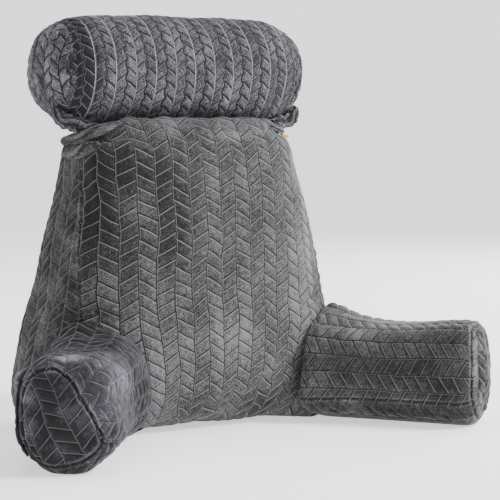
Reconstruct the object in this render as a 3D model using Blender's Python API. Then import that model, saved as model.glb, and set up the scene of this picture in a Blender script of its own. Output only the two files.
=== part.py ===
"""Reading pillow: a wedge-shaped backrest with two arms, a neck roll tied on top, a side pocket and a zip pull.

Units are metres, +Z is up, the sitter leans on the face that looks along -Y, and +X is the viewer's right.
Every cushion is one filled solid. Its plush is quilted in a herringbone: straight columns of slanted
leaves, whose slant turns over from one column to the next.
"""

import math

import bpy
import bmesh
import numpy as np
from mathutils import Vector

# Herringbone quilting: width of a column, length of a leaf along it, slant and depth of the channels
COLUMN = 0.031
LEAF = 0.022
LEAF_RISE = 0.014
CHANNEL_DEPTH = 0.0025
GAP = 0.0003

# Backrest: half widths and depths at the base and at the top, and how the taper bends
BACKREST_HEIGHT = 0.480
HALF_WIDTH_BASE = 0.305
HALF_WIDTH_TOP = 0.183
FRONT_BASE = 0.180
FRONT_TOP = 0.120
REAR_BASE = 0.102
REAR_TOP = 0.066
TAPER_BEND = 1.19
FRONT_BEND = 0.8
REAR_BEND = 1.25
FRONT_CROWN = 3.2
REAR_CROWN = 4.0
TOP_ROUND = 0.049
FRONT_UNDERCUT = 0.095
SIDE_UNDERCUT = 0.075
REAR_UNDERCUT = 0.020
UNDERCUT_HEIGHT = 0.110
BASE_EDGE = 0.016
UNDERCUT_FADE = 0.040
UNDERCUT_KEPT = (0.030, 0.080)

# Seam faces where the arms are sewn on: direction of the face and its distance from the origin
SEAM_ANGLE = math.radians(55.8)
SEAM_REACH = 0.2190

# Arms: splay from straight ahead, centre of the end panel, half widths and height
ARM_SPLAY = math.radians(36.3)
ARM_END_X = 0.368
ARM_END_Y = 0.343
ARM_HALF_WIDTH = 0.070
ARM_ROOT_HALF_WIDTH = 0.077
ARM_HEIGHT = 0.164
ARM_CROWN = 3.0
ARM_EDGE_ROUND = 0.028
ARM_END_DOME = 0.008
ARM_ROOT_RISE = 0.023
ARM_ROOT_RISE_LENGTH = 0.042
ARM_SAG = 0.007
ARM_BASE_SINK = 0.004

# Neck roll: it rests on the backrest's top with a pressed spot
ROLL_RADIUS = 0.0905
ROLL_LENGTH = 0.462
ROLL_SHOULDER = 4.6
ROLL_SETBACK = 0.020
ROLL_PRESS = 0.0105
ROLL_COLUMN = 0.0185
ROLL_LEAF = 0.0236
ROLL_END_DOME = 0.010

# Straps: a band at each top corner that curls up round the roll's end
STRAP_WIDTH = 0.034
STRAP_THICKNESS = 0.014
STRAP_SETBACK = -0.012
STRAP_TABLE = (
    # distance from the middle, height above the backrest's top, share of the full width and thickness
    (0.161, -0.0034, 0.38),
    (0.171, -0.0076, 0.65),
    (0.181, -0.0098, 1.00),
    (0.191, -0.0090, 1.00),
    (0.203, -0.0045, 1.00),
    (0.214, 0.0030, 1.00),
    (0.222, 0.0130, 0.90),
    (0.225, 0.0240, 0.60),
)
BAND_SIDES = 12

# Folds of each strap's sewn root, round the backrest's top corner: angles from the front, drops from the top
FOLD_THICKNESS = 0.012
FOLD_STEPS = 12
FOLD_TABLE = (
    # side, name, start angle, end angle, drop at start, drop at end, width, seat above the smooth cover
    (-1.0, "upper", 100.0, 48.0, 0.035, 0.007, 0.016, 0.0003),
    (-1.0, "lower", 92.0, 62.0, 0.053, 0.036, 0.015, 0.0003),
    (1.0, "upper", 72.0, 45.0, 0.020, 0.008, 0.011, -0.0003),
)

# Side pocket on the left arm's outer side: share of the arm's run and angles round it, from below
POCKET_FROM = 0.01
POCKET_TO = 0.72
POCKET_LOW_ANGLE = math.radians(50.0)
POCKET_HIGH_ANGLE = math.radians(112.0)
POCKET_SHEET = 0.0025
POCKET_SEAT = 0.0008
POCKET_OPEN = 0.012
POCKET_STEPS = 16
POCKET_RISE_STEPS = 9

# Zip pull on the backrest's right side
PULL_SETBACK = -0.040
PULL_DROP = 0.026
PULL_LENGTH = 0.013
PULL_WIDTH = 0.0052
PULL_THICKNESS = 0.0016
SLIDER_LENGTH = 0.005
SLIDER_WIDTH = 0.0080


def clear_scene():
    for old in list(bpy.data.objects):
        bpy.data.objects.remove(old, do_unlink=True)


def principled(name, colour, roughness, metallic):
    material = bpy.data.materials.new(name)
    material.use_nodes = True
    shader = material.node_tree.nodes["Principled BSDF"]
    shader.inputs["Base Color"].default_value = (*colour, 1.0)
    shader.inputs["Roughness"].default_value = roughness
    shader.inputs["Metallic"].default_value = metallic
    return material


def signed_power(value, exponent):
    return np.sign(value) * np.abs(value) ** exponent


def smooth_step(low, high, value):
    part = np.clip((value - low) / (high - low), 0.0, 1.0)
    return part * part * (3.0 - 2.0 * part)


def quarter(count):
    """A quarter round from its inner end to its outer end, as (inset left over, height gained), both 0 to 1."""
    angle = np.linspace(0.0, math.pi / 2, count)
    return 1.0 - np.sin(angle), 1.0 - np.cos(angle)


def zigzag(rows, columns, row_step, rise):
    """How far each grid point moves along its column, so that the rows run as herringbone lines."""
    turn = np.where(np.arange(columns) % 2 == 0, -0.5, 0.5) * rise
    row = np.arange(rows)
    from_end = np.minimum(row, rows - 1 - row) * row_step
    fade = np.clip(from_end / (2.0 * rise), 0.0, 1.0)
    return fade[:, None] * turn[None, :]


def sink_channels(grid, depth):
    """Every second row goes in by the channel's depth, along the surface's own normal."""
    along = np.gradient(grid, axis=0)
    around = np.roll(grid, -1, axis=1) - np.roll(grid, 1, axis=1)
    normal = np.cross(around, along)
    length = np.linalg.norm(normal, axis=2, keepdims=True)
    outward = np.sign(np.sum(normal * (grid - grid.mean(axis=(0, 1)))))
    normal = outward * normal / np.maximum(length, 1e-12)
    channel = (np.arange(grid.shape[0]) % 2 == 0).astype(float)
    channel[0] = 0.0
    channel[-1] = 0.0
    return grid - normal * depth * channel[:, None, None]


def grid_faces(rows, columns):
    """Four-sided faces of a grid whose columns close on themselves."""
    row, column = np.meshgrid(np.arange(rows - 1), np.arange(columns), indexing="ij")
    following = (column + 1) % columns
    corners = (row * columns + column, row * columns + following)
    above = ((row + 1) * columns + following, (row + 1) * columns + column)
    return np.stack(corners + above, axis=-1).reshape(-1, 4).tolist()


def closed_tube(name, grid, material, first_centre=None, last_centre=None):
    """A solid from rings of points. Its ends are flat, or fans to a centre point."""
    rows, columns = grid.shape[:2]
    points = grid.reshape(-1, 3).tolist()
    faces = grid_faces(rows, columns)
    for start, centre in ((0, first_centre), ((rows - 1) * columns, last_centre)):
        ring = list(range(start, start + columns))
        if centre is None:
            faces.append(ring)
            continue
        points.append(list(centre))
        apex = len(points) - 1
        faces.extend([ring[i], ring[(i + 1) % columns], apex] for i in range(columns))
    return solid_object(name, points, faces, material)


def solid_object(name, points, faces, material):
    mesh = bpy.data.meshes.new(name)
    mesh.from_pydata(points, [], faces)
    work = bmesh.new()
    work.from_mesh(mesh)
    bmesh.ops.remove_doubles(work, verts=work.verts, dist=1e-6)
    bmesh.ops.recalc_face_normals(work, faces=work.faces)
    if work.calc_volume(signed=True) < 0:
        bmesh.ops.reverse_faces(work, faces=work.faces)
    work.to_mesh(mesh)
    work.free()
    mesh.shade_smooth()
    mesh.set_sharp_from_angle(angle=math.radians(50))
    mesh.materials.append(material)
    piece = bpy.data.objects.new(name, mesh)
    bpy.context.scene.collection.objects.link(piece)
    return piece


def section_angles(count, half_width, front, rear):
    """Angles round a backrest section that part its outline into equal lengths."""
    angle = np.linspace(0.0, 2.0 * math.pi, 2001)
    x, y = section_outline(angle, half_width, front, rear)
    run = np.concatenate([[0.0], np.cumsum(np.hypot(np.diff(x), np.diff(y)))])
    return np.interp(np.arange(count) / count * run[-1], run, angle)


def section_outline(angle, half_width, front, rear):
    """A crowned box seen from above: fuller in front, flatter behind. Angle 0 is the middle of the front."""
    ahead = np.cos(angle) > 0
    crown = np.where(ahead, FRONT_CROWN, REAR_CROWN)
    depth = np.where(ahead, front, rear)
    x = half_width * signed_power(np.sin(angle), 2.0 / crown)
    y = -depth * signed_power(np.cos(angle), 2.0 / crown)
    return x, y


def backrest_surface(angle, height):
    """Point of the backrest's cover at an angle round it and a height, both arrays of one shape."""
    left = 1.0 - height / BACKREST_HEIGHT
    half_width = HALF_WIDTH_TOP + (HALF_WIDTH_BASE - HALF_WIDTH_TOP) * left ** TAPER_BEND
    front = FRONT_TOP + (FRONT_BASE - FRONT_TOP) * left ** FRONT_BEND
    rear = REAR_TOP + (REAR_BASE - REAR_TOP) * left ** REAR_BEND
    from_top = np.clip((height - BACKREST_HEIGHT + TOP_ROUND) / TOP_ROUND, 0.0, 1.0)
    top_inset = TOP_ROUND * (1.0 - np.sqrt(1.0 - from_top ** 2))
    low = np.clip(1.0 - height / BASE_EDGE, 0.0, 1.0)
    edge_inset = BASE_EDGE * (1.0 - np.sqrt(1.0 - low ** 2))
    x, y = section_outline(angle, half_width - top_inset - edge_inset, front - top_inset - edge_inset,
                           rear - top_inset - edge_inset)
    beyond_seam = np.abs(x) * math.cos(SEAM_ANGLE) - y * math.sin(SEAM_ANGLE) - SEAM_REACH
    from_arm = np.abs((np.abs(x) - ARM_END_X) * math.cos(ARM_SPLAY) + (y + ARM_END_Y) * math.sin(ARM_SPLAY))
    behind_arm = smooth_step(-UNDERCUT_FADE, 0.0, beyond_seam) * (1.0 - smooth_step(*UNDERCUT_KEPT, from_arm))
    under = np.clip(1.0 - height / UNDERCUT_HEIGHT, 0.0, 1.0)
    undercut = (1.0 - np.sqrt(1.0 - under ** 2)) * (1.0 - behind_arm)
    x = x * (1.0 - undercut * SIDE_UNDERCUT / half_width)
    depth_cut = np.where(y < 0, FRONT_UNDERCUT / front, REAR_UNDERCUT / rear)
    y = y * (1.0 - undercut * depth_cut)
    return np.stack([x, y, height], axis=-1)


def flatten_at_arms(grid):
    """Holds the backrest behind the two upright seam faces that the arms are sewn to."""
    for side in (-1.0, 1.0):
        facing = np.array([side * math.cos(SEAM_ANGLE), -math.sin(SEAM_ANGLE), 0.0])
        beyond = np.maximum(grid @ facing - SEAM_REACH, 0.0)
        grid = grid - beyond[..., None] * facing
    return grid


def height_on_cover(run):
    """Height reached after a run up the cover: round the base edge, up the side, then round the top edge."""
    base_arc = BASE_EDGE * math.pi / 2
    side = BACKREST_HEIGHT - BASE_EDGE - TOP_ROUND
    in_base = BASE_EDGE * (1.0 - np.cos(np.clip(run, 0.0, base_arc) / BASE_EDGE))
    on_side = np.clip(run - base_arc, 0.0, side)
    past = np.clip(run - base_arc - side, 0.0, TOP_ROUND * math.pi / 2)
    return in_base + on_side + TOP_ROUND * np.sin(past / TOP_ROUND)


def make_backrest(plush):
    columns = 2 * round(math.pi * (HALF_WIDTH_BASE + FRONT_BASE) / 2.0 / COLUMN)
    angle = section_angles(columns, HALF_WIDTH_BASE, FRONT_BASE, REAR_BASE)
    cover = BACKREST_HEIGHT - BASE_EDGE - TOP_ROUND + (BASE_EDGE + TOP_ROUND) * math.pi / 2
    rows = 2 * round(cover / LEAF) + 1
    run = np.linspace(0.0, cover, rows)
    run = run[:, None] + zigzag(rows, columns, LEAF / 2.0, LEAF_RISE)
    height = height_on_cover(run)
    grid = backrest_surface(np.broadcast_to(angle, height.shape), height)
    grid = flatten_at_arms(sink_channels(grid, CHANNEL_DEPTH))
    return closed_tube("backrest", grid, plush)


class ArmFrame:
    """Directions of one arm and the run of its cover from the end panel back to the seam face."""

    def __init__(self, side):
        self.side = side
        self.ahead = np.array([side * math.sin(ARM_SPLAY), -math.cos(ARM_SPLAY), 0.0])
        self.outward = np.array([side * math.cos(ARM_SPLAY), math.sin(ARM_SPLAY), 0.0])
        self.end = np.array([side * ARM_END_X, -ARM_END_Y, 0.0])
        self.seam = np.array([side * math.cos(SEAM_ANGLE), -math.sin(SEAM_ANGLE), 0.0])

    def section(self, angle, inset):
        """Offsets (outward, up) of the arm's rounded section, drawn in by inset. Angle 0 is the middle below."""
        width = ARM_HALF_WIDTH - inset
        low = inset - ARM_BASE_SINK
        high = ARM_HEIGHT - inset
        out = width * signed_power(np.sin(angle), 2.0 / ARM_CROWN)
        up = (low + high) / 2.0 - (high - low) / 2.0 * signed_power(np.cos(angle), 2.0 / ARM_CROWN)
        return out, np.maximum(up, 0.0)

    def place(self, out, up, back):
        """World points from offsets outward, up and back from the end panel's middle."""
        up_axis = np.array([0.0, 0.0, 1.0])
        across = out[..., None] * self.outward
        return self.end + across + up[..., None] * up_axis - back[..., None] * self.ahead

    def run_length(self, out, back):
        """Length from a place behind the end panel to the seam face, along the arm."""
        start = self.place(out, np.zeros_like(out), np.zeros_like(out) + back)
        short = start @ self.seam - SEAM_REACH - GAP
        return short / float(self.ahead @ self.seam)

    def surface(self, angle, part):
        """Point of the arm's cover: part 0 is behind the rounded end edge, part 1 is on the seam face."""
        out, up = self.section(angle, 0.0)
        run = self.run_length(out, ARM_EDGE_ROUND)
        widen = 1.0 + (ARM_ROOT_HALF_WIDTH / ARM_HALF_WIDTH - 1.0) * part
        back = ARM_EDGE_ROUND + run * part
        left = run * (1.0 - part)
        outer = smooth_step(-0.6, 0.5, out / ARM_HALF_WIDTH)
        rise = ARM_ROOT_RISE * np.exp(-((left / ARM_ROOT_RISE_LENGTH) ** 2)) * outer
        sag = ARM_SAG * np.sin(math.pi * part) ** 2
        up = up + (rise - sag) * (up / ARM_HEIGHT) ** 3
        grid = self.place(out * widen, up, back)
        past = grid @ self.seam - SEAM_REACH - GAP
        at_seam = np.where(part >= 1.0, past / float(self.ahead @ self.seam), 0.0)
        return grid - at_seam[..., None] * self.ahead


def make_arm(name, side, plush):
    frame = ArmFrame(side)
    columns = 2 * round(math.pi * (ARM_HALF_WIDTH + ARM_HEIGHT / 2.0) / COLUMN / 2.0 * 1.12)
    angle = np.arange(columns) * 2.0 * math.pi / columns
    inset, back = quarter(5)
    end_rings = []
    for drawn_in, behind in zip(ARM_EDGE_ROUND * inset, ARM_EDGE_ROUND * back):
        out, up = frame.section(angle, drawn_in)
        end_rings.append(frame.place(out, up, np.full(columns, behind)))
    middle_run = float(frame.run_length(np.zeros(1), ARM_EDGE_ROUND)[0])
    rows = 2 * round(middle_run / LEAF) + 1
    part = np.linspace(0.0, 1.0, rows)
    shift = zigzag(rows, columns, LEAF / 2.0, LEAF_RISE) / middle_run
    part = np.clip(part[:, None] + shift, 0.0, 1.0)
    part[0] = 0.0
    part[-1] = 1.0
    body = sink_channels(frame.surface(np.broadcast_to(angle, part.shape), part), CHANNEL_DEPTH)
    body[..., 2] = np.maximum(body[..., 2], 0.0)
    grid = np.concatenate([np.stack(end_rings)[:-1], body])
    dome = frame.end - ARM_END_DOME * -frame.ahead + np.array([0.0, 0.0, ARM_HEIGHT / 2.0])
    return closed_tube(name, grid, plush, first_centre=dome)


def make_neck_roll(plush):
    """Rings along X carry the column lines, and each ring's points step along the leaves."""
    half_columns = round(ROLL_LENGTH / 2.0 / ROLL_COLUMN)
    reach = np.linspace(-1.0, 1.0, 2 * half_columns + 1)
    reach = np.sin(reach * math.pi / 2) * 0.35 + reach * 0.65
    reach[[0, -1]] = (-0.998, 0.998)
    radius = ROLL_RADIUS * (1.0 - np.abs(reach) ** ROLL_SHOULDER) ** (1.0 / ROLL_SHOULDER)
    steps = 2 * round(2.0 * math.pi * ROLL_RADIUS / ROLL_LEAF)
    turn = np.where(np.arange(len(reach)) % 2 == 0, -0.5, 0.5) * LEAF_RISE / ROLL_RADIUS
    angle = np.arange(steps)[None, :] * 2.0 * math.pi / steps + turn[:, None]
    channel = np.where(np.arange(steps) % 2 == 0, CHANNEL_DEPTH, 0.0)[None, :]
    spread = np.maximum(radius[:, None] - channel * radius[:, None] / ROLL_RADIUS, 0.001)
    centre_height = BACKREST_HEIGHT + GAP + ROLL_RADIUS - ROLL_PRESS
    x = np.broadcast_to((reach * ROLL_LENGTH / 2.0)[:, None], angle.shape)
    y = ROLL_SETBACK + spread * np.cos(angle)
    z = np.maximum(centre_height + spread * np.sin(angle), BACKREST_HEIGHT + GAP)
    grid = np.stack([x, y, z], axis=-1)
    tip = np.array([ROLL_LENGTH / 2.0 + ROLL_END_DOME, ROLL_SETBACK, centre_height])
    return closed_tube("neck_roll", grid, plush, first_centre=tip * (-1, 1, 1), last_centre=tip)


def swept_band(name, route, widths, thicknesses, facing, material):
    """A flattened band swept along a route of points, its flat side turned to the facing direction at each."""
    heading = np.gradient(route, axis=0)
    heading /= np.linalg.norm(heading, axis=1, keepdims=True)
    across = np.cross(facing, heading)
    across /= np.linalg.norm(across, axis=1, keepdims=True)
    thick = np.cross(heading, across)
    angle = np.arange(BAND_SIDES) * 2.0 * math.pi / BAND_SIDES
    wide = np.array(widths)[:, None] / 2.0 * signed_power(np.cos(angle), 0.7)[None, :]
    deep = np.array(thicknesses)[:, None] / 2.0 * signed_power(np.sin(angle), 0.7)[None, :]
    grid = route[:, None, :] + wide[..., None] * across[:, None, :] + deep[..., None] * thick[:, None, :]
    return closed_tube(name, grid, material)


def make_strap(name, side, plush):
    across, above, share = np.array(STRAP_TABLE).T
    route = np.stack([side * across, np.full(len(across), STRAP_SETBACK), BACKREST_HEIGHT + above], axis=1)
    facing = np.cross(np.gradient(route, axis=0), (0.0, 1.0, 0.0))
    return swept_band(name, route, STRAP_WIDTH * share, STRAP_THICKNESS * share, facing, plush)


def cover_point_and_normal(angle, height):
    """Points of the backrest's cover with the way out of it at each, by small steps along the surface."""
    step = 1e-4
    point = backrest_surface(angle, height)
    round_step = backrest_surface(angle + step, height) - backrest_surface(angle - step, height)
    up_step = backrest_surface(angle, height + step) - backrest_surface(angle, height - step)
    normal = np.cross(round_step, up_step)
    return point, normal / np.linalg.norm(normal, axis=-1, keepdims=True)


def make_strap_folds(plush):
    for side, name, start, end, start_drop, end_drop, width, seat in FOLD_TABLE:
        share = np.linspace(0.0, 1.0, FOLD_STEPS)
        angle = side * np.radians(start + (end - start) * share)
        height = BACKREST_HEIGHT - (start_drop + (end_drop - start_drop) * share)
        point, normal = cover_point_and_normal(angle, height)
        swell = 0.45 + 0.55 * np.sin(np.pi * np.clip(share * 0.9 + 0.05, 0.0, 1.0)) ** 0.6
        thick = FOLD_THICKNESS * swell
        route = point + normal * (thick / 2.0 + seat)[:, None]
        side_name = "left" if side < 0 else "right"
        piece = f"strap_fold_{side_name}_{name}"
        swept_band(piece, route, width * swell, thick, normal, plush)


def make_pocket(plush):
    """A sheet on the left arm's outer side, seated along its ends and foot, and open along its top."""
    frame = ArmFrame(-1.0)
    part, rise = np.meshgrid(np.linspace(POCKET_FROM, POCKET_TO, POCKET_STEPS),
                             np.linspace(0.0, 1.0, POCKET_RISE_STEPS), indexing="ij")
    angle = POCKET_LOW_ANGLE + (POCKET_HIGH_ANGLE - POCKET_LOW_ANGLE) * rise
    point = frame.surface(angle, part)
    normal = np.cross(np.gradient(point, axis=0), np.gradient(point, axis=1))
    normal /= np.linalg.norm(normal, axis=2, keepdims=True)
    outside = np.sign((normal @ frame.outward).mean())
    along = (part - POCKET_FROM) / (POCKET_TO - POCKET_FROM)
    stand_off = POCKET_SEAT + POCKET_OPEN * np.sin(np.pi * along) ** 0.8 * rise ** 1.5
    inner = point + outside * normal * stand_off[..., None]
    outer = inner + outside * normal * POCKET_SHEET
    steps, rises = part.shape
    points = np.concatenate([inner.reshape(-1, 3), outer.reshape(-1, 3)]).tolist()
    back_side = steps * rises
    faces = []
    for i in range(steps - 1):
        for j in range(rises - 1):
            a = i * rises + j
            faces.append([a, a + 1, a + rises + 1, a + rises])
            faces.append([back_side + a, back_side + a + rises, back_side + a + rises + 1, back_side + a + 1])
    rim = [i * rises for i in range(steps)]
    rim += [(steps - 1) * rises + j for j in range(1, rises)]
    rim += [i * rises + rises - 1 for i in range(steps - 2, -1, -1)]
    rim += list(range(rises - 2, 0, -1))
    for k, a in enumerate(rim):
        b = rim[(k + 1) % len(rim)]
        faces.append([a, b, back_side + b, back_side + a])
    return solid_object("side_pocket", points, faces, plush)


def make_zip_pull(brass):
    """A flat bar with a rounded tip on a wider slider, standing out of the backrest's right side."""
    tip = [(PULL_LENGTH - PULL_WIDTH / 2 + PULL_WIDTH / 2 * math.sin(a), PULL_WIDTH / 2 * math.cos(a))
           for a in np.linspace(0.0, math.pi, 9)]
    outline = [(0.0, SLIDER_WIDTH / 2), (SLIDER_LENGTH, SLIDER_WIDTH / 2), (SLIDER_LENGTH, PULL_WIDTH / 2)]
    outline += tip
    outline += [(SLIDER_LENGTH, -PULL_WIDTH / 2), (SLIDER_LENGTH, -SLIDER_WIDTH / 2), (0.0, -SLIDER_WIDTH / 2)]
    count = len(outline)
    half = PULL_THICKNESS / 2
    points = [(x, -half, z) for x, z in outline] + [(x, half, z) for x, z in outline]
    faces = [list(range(count)), list(range(2 * count - 1, count - 1, -1))]
    faces += [[i, (i + 1) % count, count + (i + 1) % count, count + i] for i in range(count)]
    piece = solid_object("zip_pull", points, faces, brass)
    height = np.array([BACKREST_HEIGHT - PULL_DROP])
    angles = np.radians(np.linspace(40.0, 90.0, 501))
    row = backrest_surface(angles, np.full(angles.shape, height[0]))
    nearest = int(np.argmin(np.abs(row[:, 1] - PULL_SETBACK)))
    point, normal = cover_point_and_normal(angles[nearest:nearest + 1], height)
    piece.location = Vector(point[0] + normal[0] * (GAP + PULL_THICKNESS / 2))
    piece.rotation_euler = (0.0, 0.0, math.atan2(normal[0][1], normal[0][0]))
    return piece


def main():
    clear_scene()
    plush = principled("plush_grey", (0.150, 0.150, 0.158), 0.9, 0.0)
    brass = principled("brass", (0.62, 0.42, 0.17), 0.35, 1.0)
    make_backrest(plush)
    make_arm("arm_left", -1.0, plush)
    make_arm("arm_right", 1.0, plush)
    make_neck_roll(plush)
    make_strap("strap_left", -1.0, plush)
    make_strap("strap_right", 1.0, plush)
    make_strap_folds(plush)
    make_pocket(plush)
    make_zip_pull(brass)


main()
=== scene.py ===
# %% [markdown]
# # A quilted reading pillow
# A reading pillow props a sitter up in bed: a tall backrest, two splayed arms, and a neck roll tied on top.
# It is covered in short plush, quilted in a herringbone of slanted leaves.
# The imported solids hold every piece's size and place. This lesson gives them their cloth.
# Cloth could be simulated, but quilting this fine on a cover this large needs too many points to settle
# in time. So each cover is a surface worked out in code and pushed in and out along its normals.

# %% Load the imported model
import math
import bpy
import bmesh
import numpy as np
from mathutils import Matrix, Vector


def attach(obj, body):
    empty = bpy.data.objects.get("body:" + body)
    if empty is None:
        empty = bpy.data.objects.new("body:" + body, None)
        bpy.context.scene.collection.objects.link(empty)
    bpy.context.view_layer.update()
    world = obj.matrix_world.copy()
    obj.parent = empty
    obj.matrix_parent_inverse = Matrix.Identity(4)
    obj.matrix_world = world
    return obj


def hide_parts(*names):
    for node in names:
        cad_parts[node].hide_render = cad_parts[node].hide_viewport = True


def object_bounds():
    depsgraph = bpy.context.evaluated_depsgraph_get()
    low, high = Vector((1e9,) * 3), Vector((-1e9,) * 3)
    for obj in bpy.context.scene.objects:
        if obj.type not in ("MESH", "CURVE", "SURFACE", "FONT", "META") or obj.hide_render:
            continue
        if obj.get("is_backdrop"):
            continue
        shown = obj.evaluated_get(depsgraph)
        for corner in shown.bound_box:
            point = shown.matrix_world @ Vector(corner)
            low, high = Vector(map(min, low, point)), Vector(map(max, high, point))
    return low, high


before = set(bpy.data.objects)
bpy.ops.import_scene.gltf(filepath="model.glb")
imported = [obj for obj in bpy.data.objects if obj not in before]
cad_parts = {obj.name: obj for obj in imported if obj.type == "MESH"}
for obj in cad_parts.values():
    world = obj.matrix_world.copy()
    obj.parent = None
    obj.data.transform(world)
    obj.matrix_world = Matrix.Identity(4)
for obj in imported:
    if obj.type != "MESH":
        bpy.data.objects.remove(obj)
cad_box = [list(corner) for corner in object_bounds()]
print("nodes:", ", ".join(sorted(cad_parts)))

# %% [markdown]
# ## The camera
# The photograph was taken from the viewer's left of the pillow, a little above it.
# The direction, distance and lens below come from matching the outline of the object in the picture.

# %% Camera
CAMERA_AZIMUTH = math.radians(-32.03)
CAMERA_ELEVATION = math.radians(4.88)
CAMERA_DISTANCE = 2.8634
LOOK_AT = (0.1036, -0.0648, 0.2705)

away = np.array([math.sin(CAMERA_AZIMUTH) * math.cos(CAMERA_ELEVATION),
                 -math.cos(CAMERA_AZIMUTH) * math.cos(CAMERA_ELEVATION),
                 math.sin(CAMERA_ELEVATION)])
lens = bpy.data.cameras.new("camera")
lens.lens = 126.06
lens.sensor_width = 36.0
camera = bpy.data.objects.new("camera", lens)
camera.location = np.array(LOOK_AT) + away * CAMERA_DISTANCE
camera.rotation_euler = (math.pi / 2 - CAMERA_ELEVATION, 0.0, CAMERA_AZIMUTH)
bpy.context.scene.collection.objects.link(camera)
bpy.context.scene.camera = camera
print("camera", round(CAMERA_DISTANCE, 2), "m away, lens", lens.lens, "mm")

# %% [markdown]
# ## Small tools
# A surface here is a grid of points worked out by a formula, as whole arrays.
# The same few helpers turn such grids into closed meshes and give each corner its place on the cloth.
# Sculpting by hand would do too, but formulas can be measured, changed and run again.

# %% Curves used everywhere
def signed_power(value, exponent):
    """The value's size raised to the exponent, with its sign kept: it squares off a sine or cosine."""
    return np.sign(value) * np.abs(value) ** exponent


def smooth_step(low, high, value):
    """0 below low, 1 above high, and an S curve between them."""
    part = np.clip((value - low) / (high - low), 0.0, 1.0)
    return part * part * (3.0 - 2.0 * part)


def bell(value, width):
    """1 at zero, falling off on both sides like a bell of the given width."""
    return np.exp(-((value / width) ** 2))


def seam_line_and_highlight(distance):
    """A sewn seam as tone: a dark line 4 mm wide, deepened by painted shade, with a painted highlight 4.5 mm
    beside it.
    """
    return 0.45 * bell(distance - 0.0045, 0.0020) - 0.9 * bell(distance, 0.0020)


def ripples(u, v, seed, count, shortest, longest):
    """A smooth random surface, within about 1: a sum of sine waves with lengths from shortest to longest."""
    dice = np.random.default_rng(seed)
    total = np.zeros(np.broadcast(u, v).shape)
    for _ in range(count):
        heading = dice.uniform(0.0, math.pi)
        length = shortest * (longest / shortest) ** dice.uniform()
        wave = (u * math.cos(heading) + v * math.sin(heading)) * 2.0 * math.pi / length
        total += np.sin(wave + dice.uniform(0.0, 2.0 * math.pi))
    return total / math.sqrt(count)


# %% Grids of points into meshes
def normals_of(surface, first, second, step=2e-4):
    """Unit normals of a surface function by small central steps of its two parameters."""
    along_first = surface(first + step, second) - surface(first - step, second)
    along_second = surface(first, second + step) - surface(first, second - step)
    normal = np.cross(along_first, along_second)
    return normal / np.maximum(np.linalg.norm(normal, axis=-1, keepdims=True), 1e-12)


def sheet_faces(rows, columns):
    """Four-cornered faces of a grid of points, numbered row by row."""
    row, column = np.meshgrid(np.arange(rows - 1), np.arange(columns - 1), indexing="ij")
    corner = row * columns + column
    return np.stack([corner, corner + 1, corner + columns + 1, corner + columns], axis=-1).reshape(-1, 4)


def make_piece(name, panels, materials):
    """One mesh from panels of (points, column and leaf numbers, tone, quilt), joined where their edges meet.

    Tone darkens or lightens the colour: brushed pile, and painted light and shade. Quilt is 1 where the
    stitched lines are crisp, and 0 where creases hide them. Materials is one for the whole piece, or a list
    with one for each panel.
    """
    several = materials if isinstance(materials, list) else [materials] * len(panels)
    finishes = list(dict.fromkeys(several))
    points, cloth, tone, quilt, faces, finish = [], [], [], [], [], []
    start = 0
    for (grid, numbers, shade, crisp), material in zip(panels, several):
        rows, columns = grid.shape[:2]
        points.append(grid.reshape(-1, 3))
        cloth.append(numbers.reshape(-1, 2))
        tone.append(np.broadcast_to(shade, (rows, columns)).reshape(-1))
        quilt.append(np.broadcast_to(crisp, (rows, columns)).reshape(-1))
        faces.append(sheet_faces(rows, columns) + start)
        finish.append(np.full(len(faces[-1]), finishes.index(material)))
        start += rows * columns
    points, cloth = np.concatenate(points), np.concatenate(cloth)
    tone, faces = np.concatenate(tone), np.concatenate(faces)
    mesh = bpy.data.meshes.new(name)
    mesh.from_pydata(points.tolist(), [], faces.tolist())
    layer = mesh.uv_layers.new(name="cloth")
    layer.data.foreach_set("uv", cloth[faces.reshape(-1)].reshape(-1).astype(np.float32))
    for key, values in (("tone", tone), ("quilt", np.concatenate(quilt))):
        attribute = mesh.attributes.new(key, "FLOAT", "POINT")
        attribute.data.foreach_set("value", values.astype(np.float32))
    for material in finishes:
        mesh.materials.append(material)
    mesh.polygons.foreach_set("material_index", np.concatenate(finish).astype(np.int32))
    work = bmesh.new()
    work.from_mesh(mesh)
    bmesh.ops.remove_doubles(work, verts=work.verts, dist=2e-5)
    bmesh.ops.recalc_face_normals(work, faces=work.faces)
    if work.calc_volume(signed=True) < 0:
        bmesh.ops.reverse_faces(work, faces=work.faces)
    open_edges = sum(1 for edge in work.edges if len(edge.link_faces) != 2)
    work.to_mesh(mesh)
    work.free()
    mesh.shade_smooth()
    piece = bpy.data.objects.new(name, mesh)
    bpy.context.scene.collection.objects.link(piece)
    print(f"{name}: {len(mesh.polygons)} faces, {open_edges} open edges")
    return piece


# %% [markdown]
# ## The herringbone
# On the real cover, straight columns of slanted leaves are pressed and stitched into the plush.
# The slant turns over from one column to the next, and each column starts half a leaf later.
# Two numbers say where a point lies on the cloth: how many columns across, and how many leaves along.
# A bump in the material alone would look flat at the outline, so the grooves are in the mesh, and the
# material adds the thread and the pile on the same two numbers.

# %% Herringbone relief
# Width of a column and length of a leaf in metres, and how far a leaf line climbs in a column, in leaves
COLUMN = 0.0268
LEAF = 0.0203
SLANT = 0.76
LEAF_ACROSS = 0.8


def leaf_distances(columns, leaves, slant):
    """Distances in columns and leaves to the nearest column line and the nearest leaf line.

    A leaf line crosses its column at a slant, which turns over in every second column.
    """
    index = np.floor(columns)
    across = columns - index
    odd = index % 2.0
    phase = leaves + 0.5 * odd + (1.0 - 2.0 * odd) * (across - 0.5) * slant
    phase = phase - np.floor(phase)
    return np.minimum(across, 1.0 - across), np.minimum(phase, 1.0 - phase)


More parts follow.
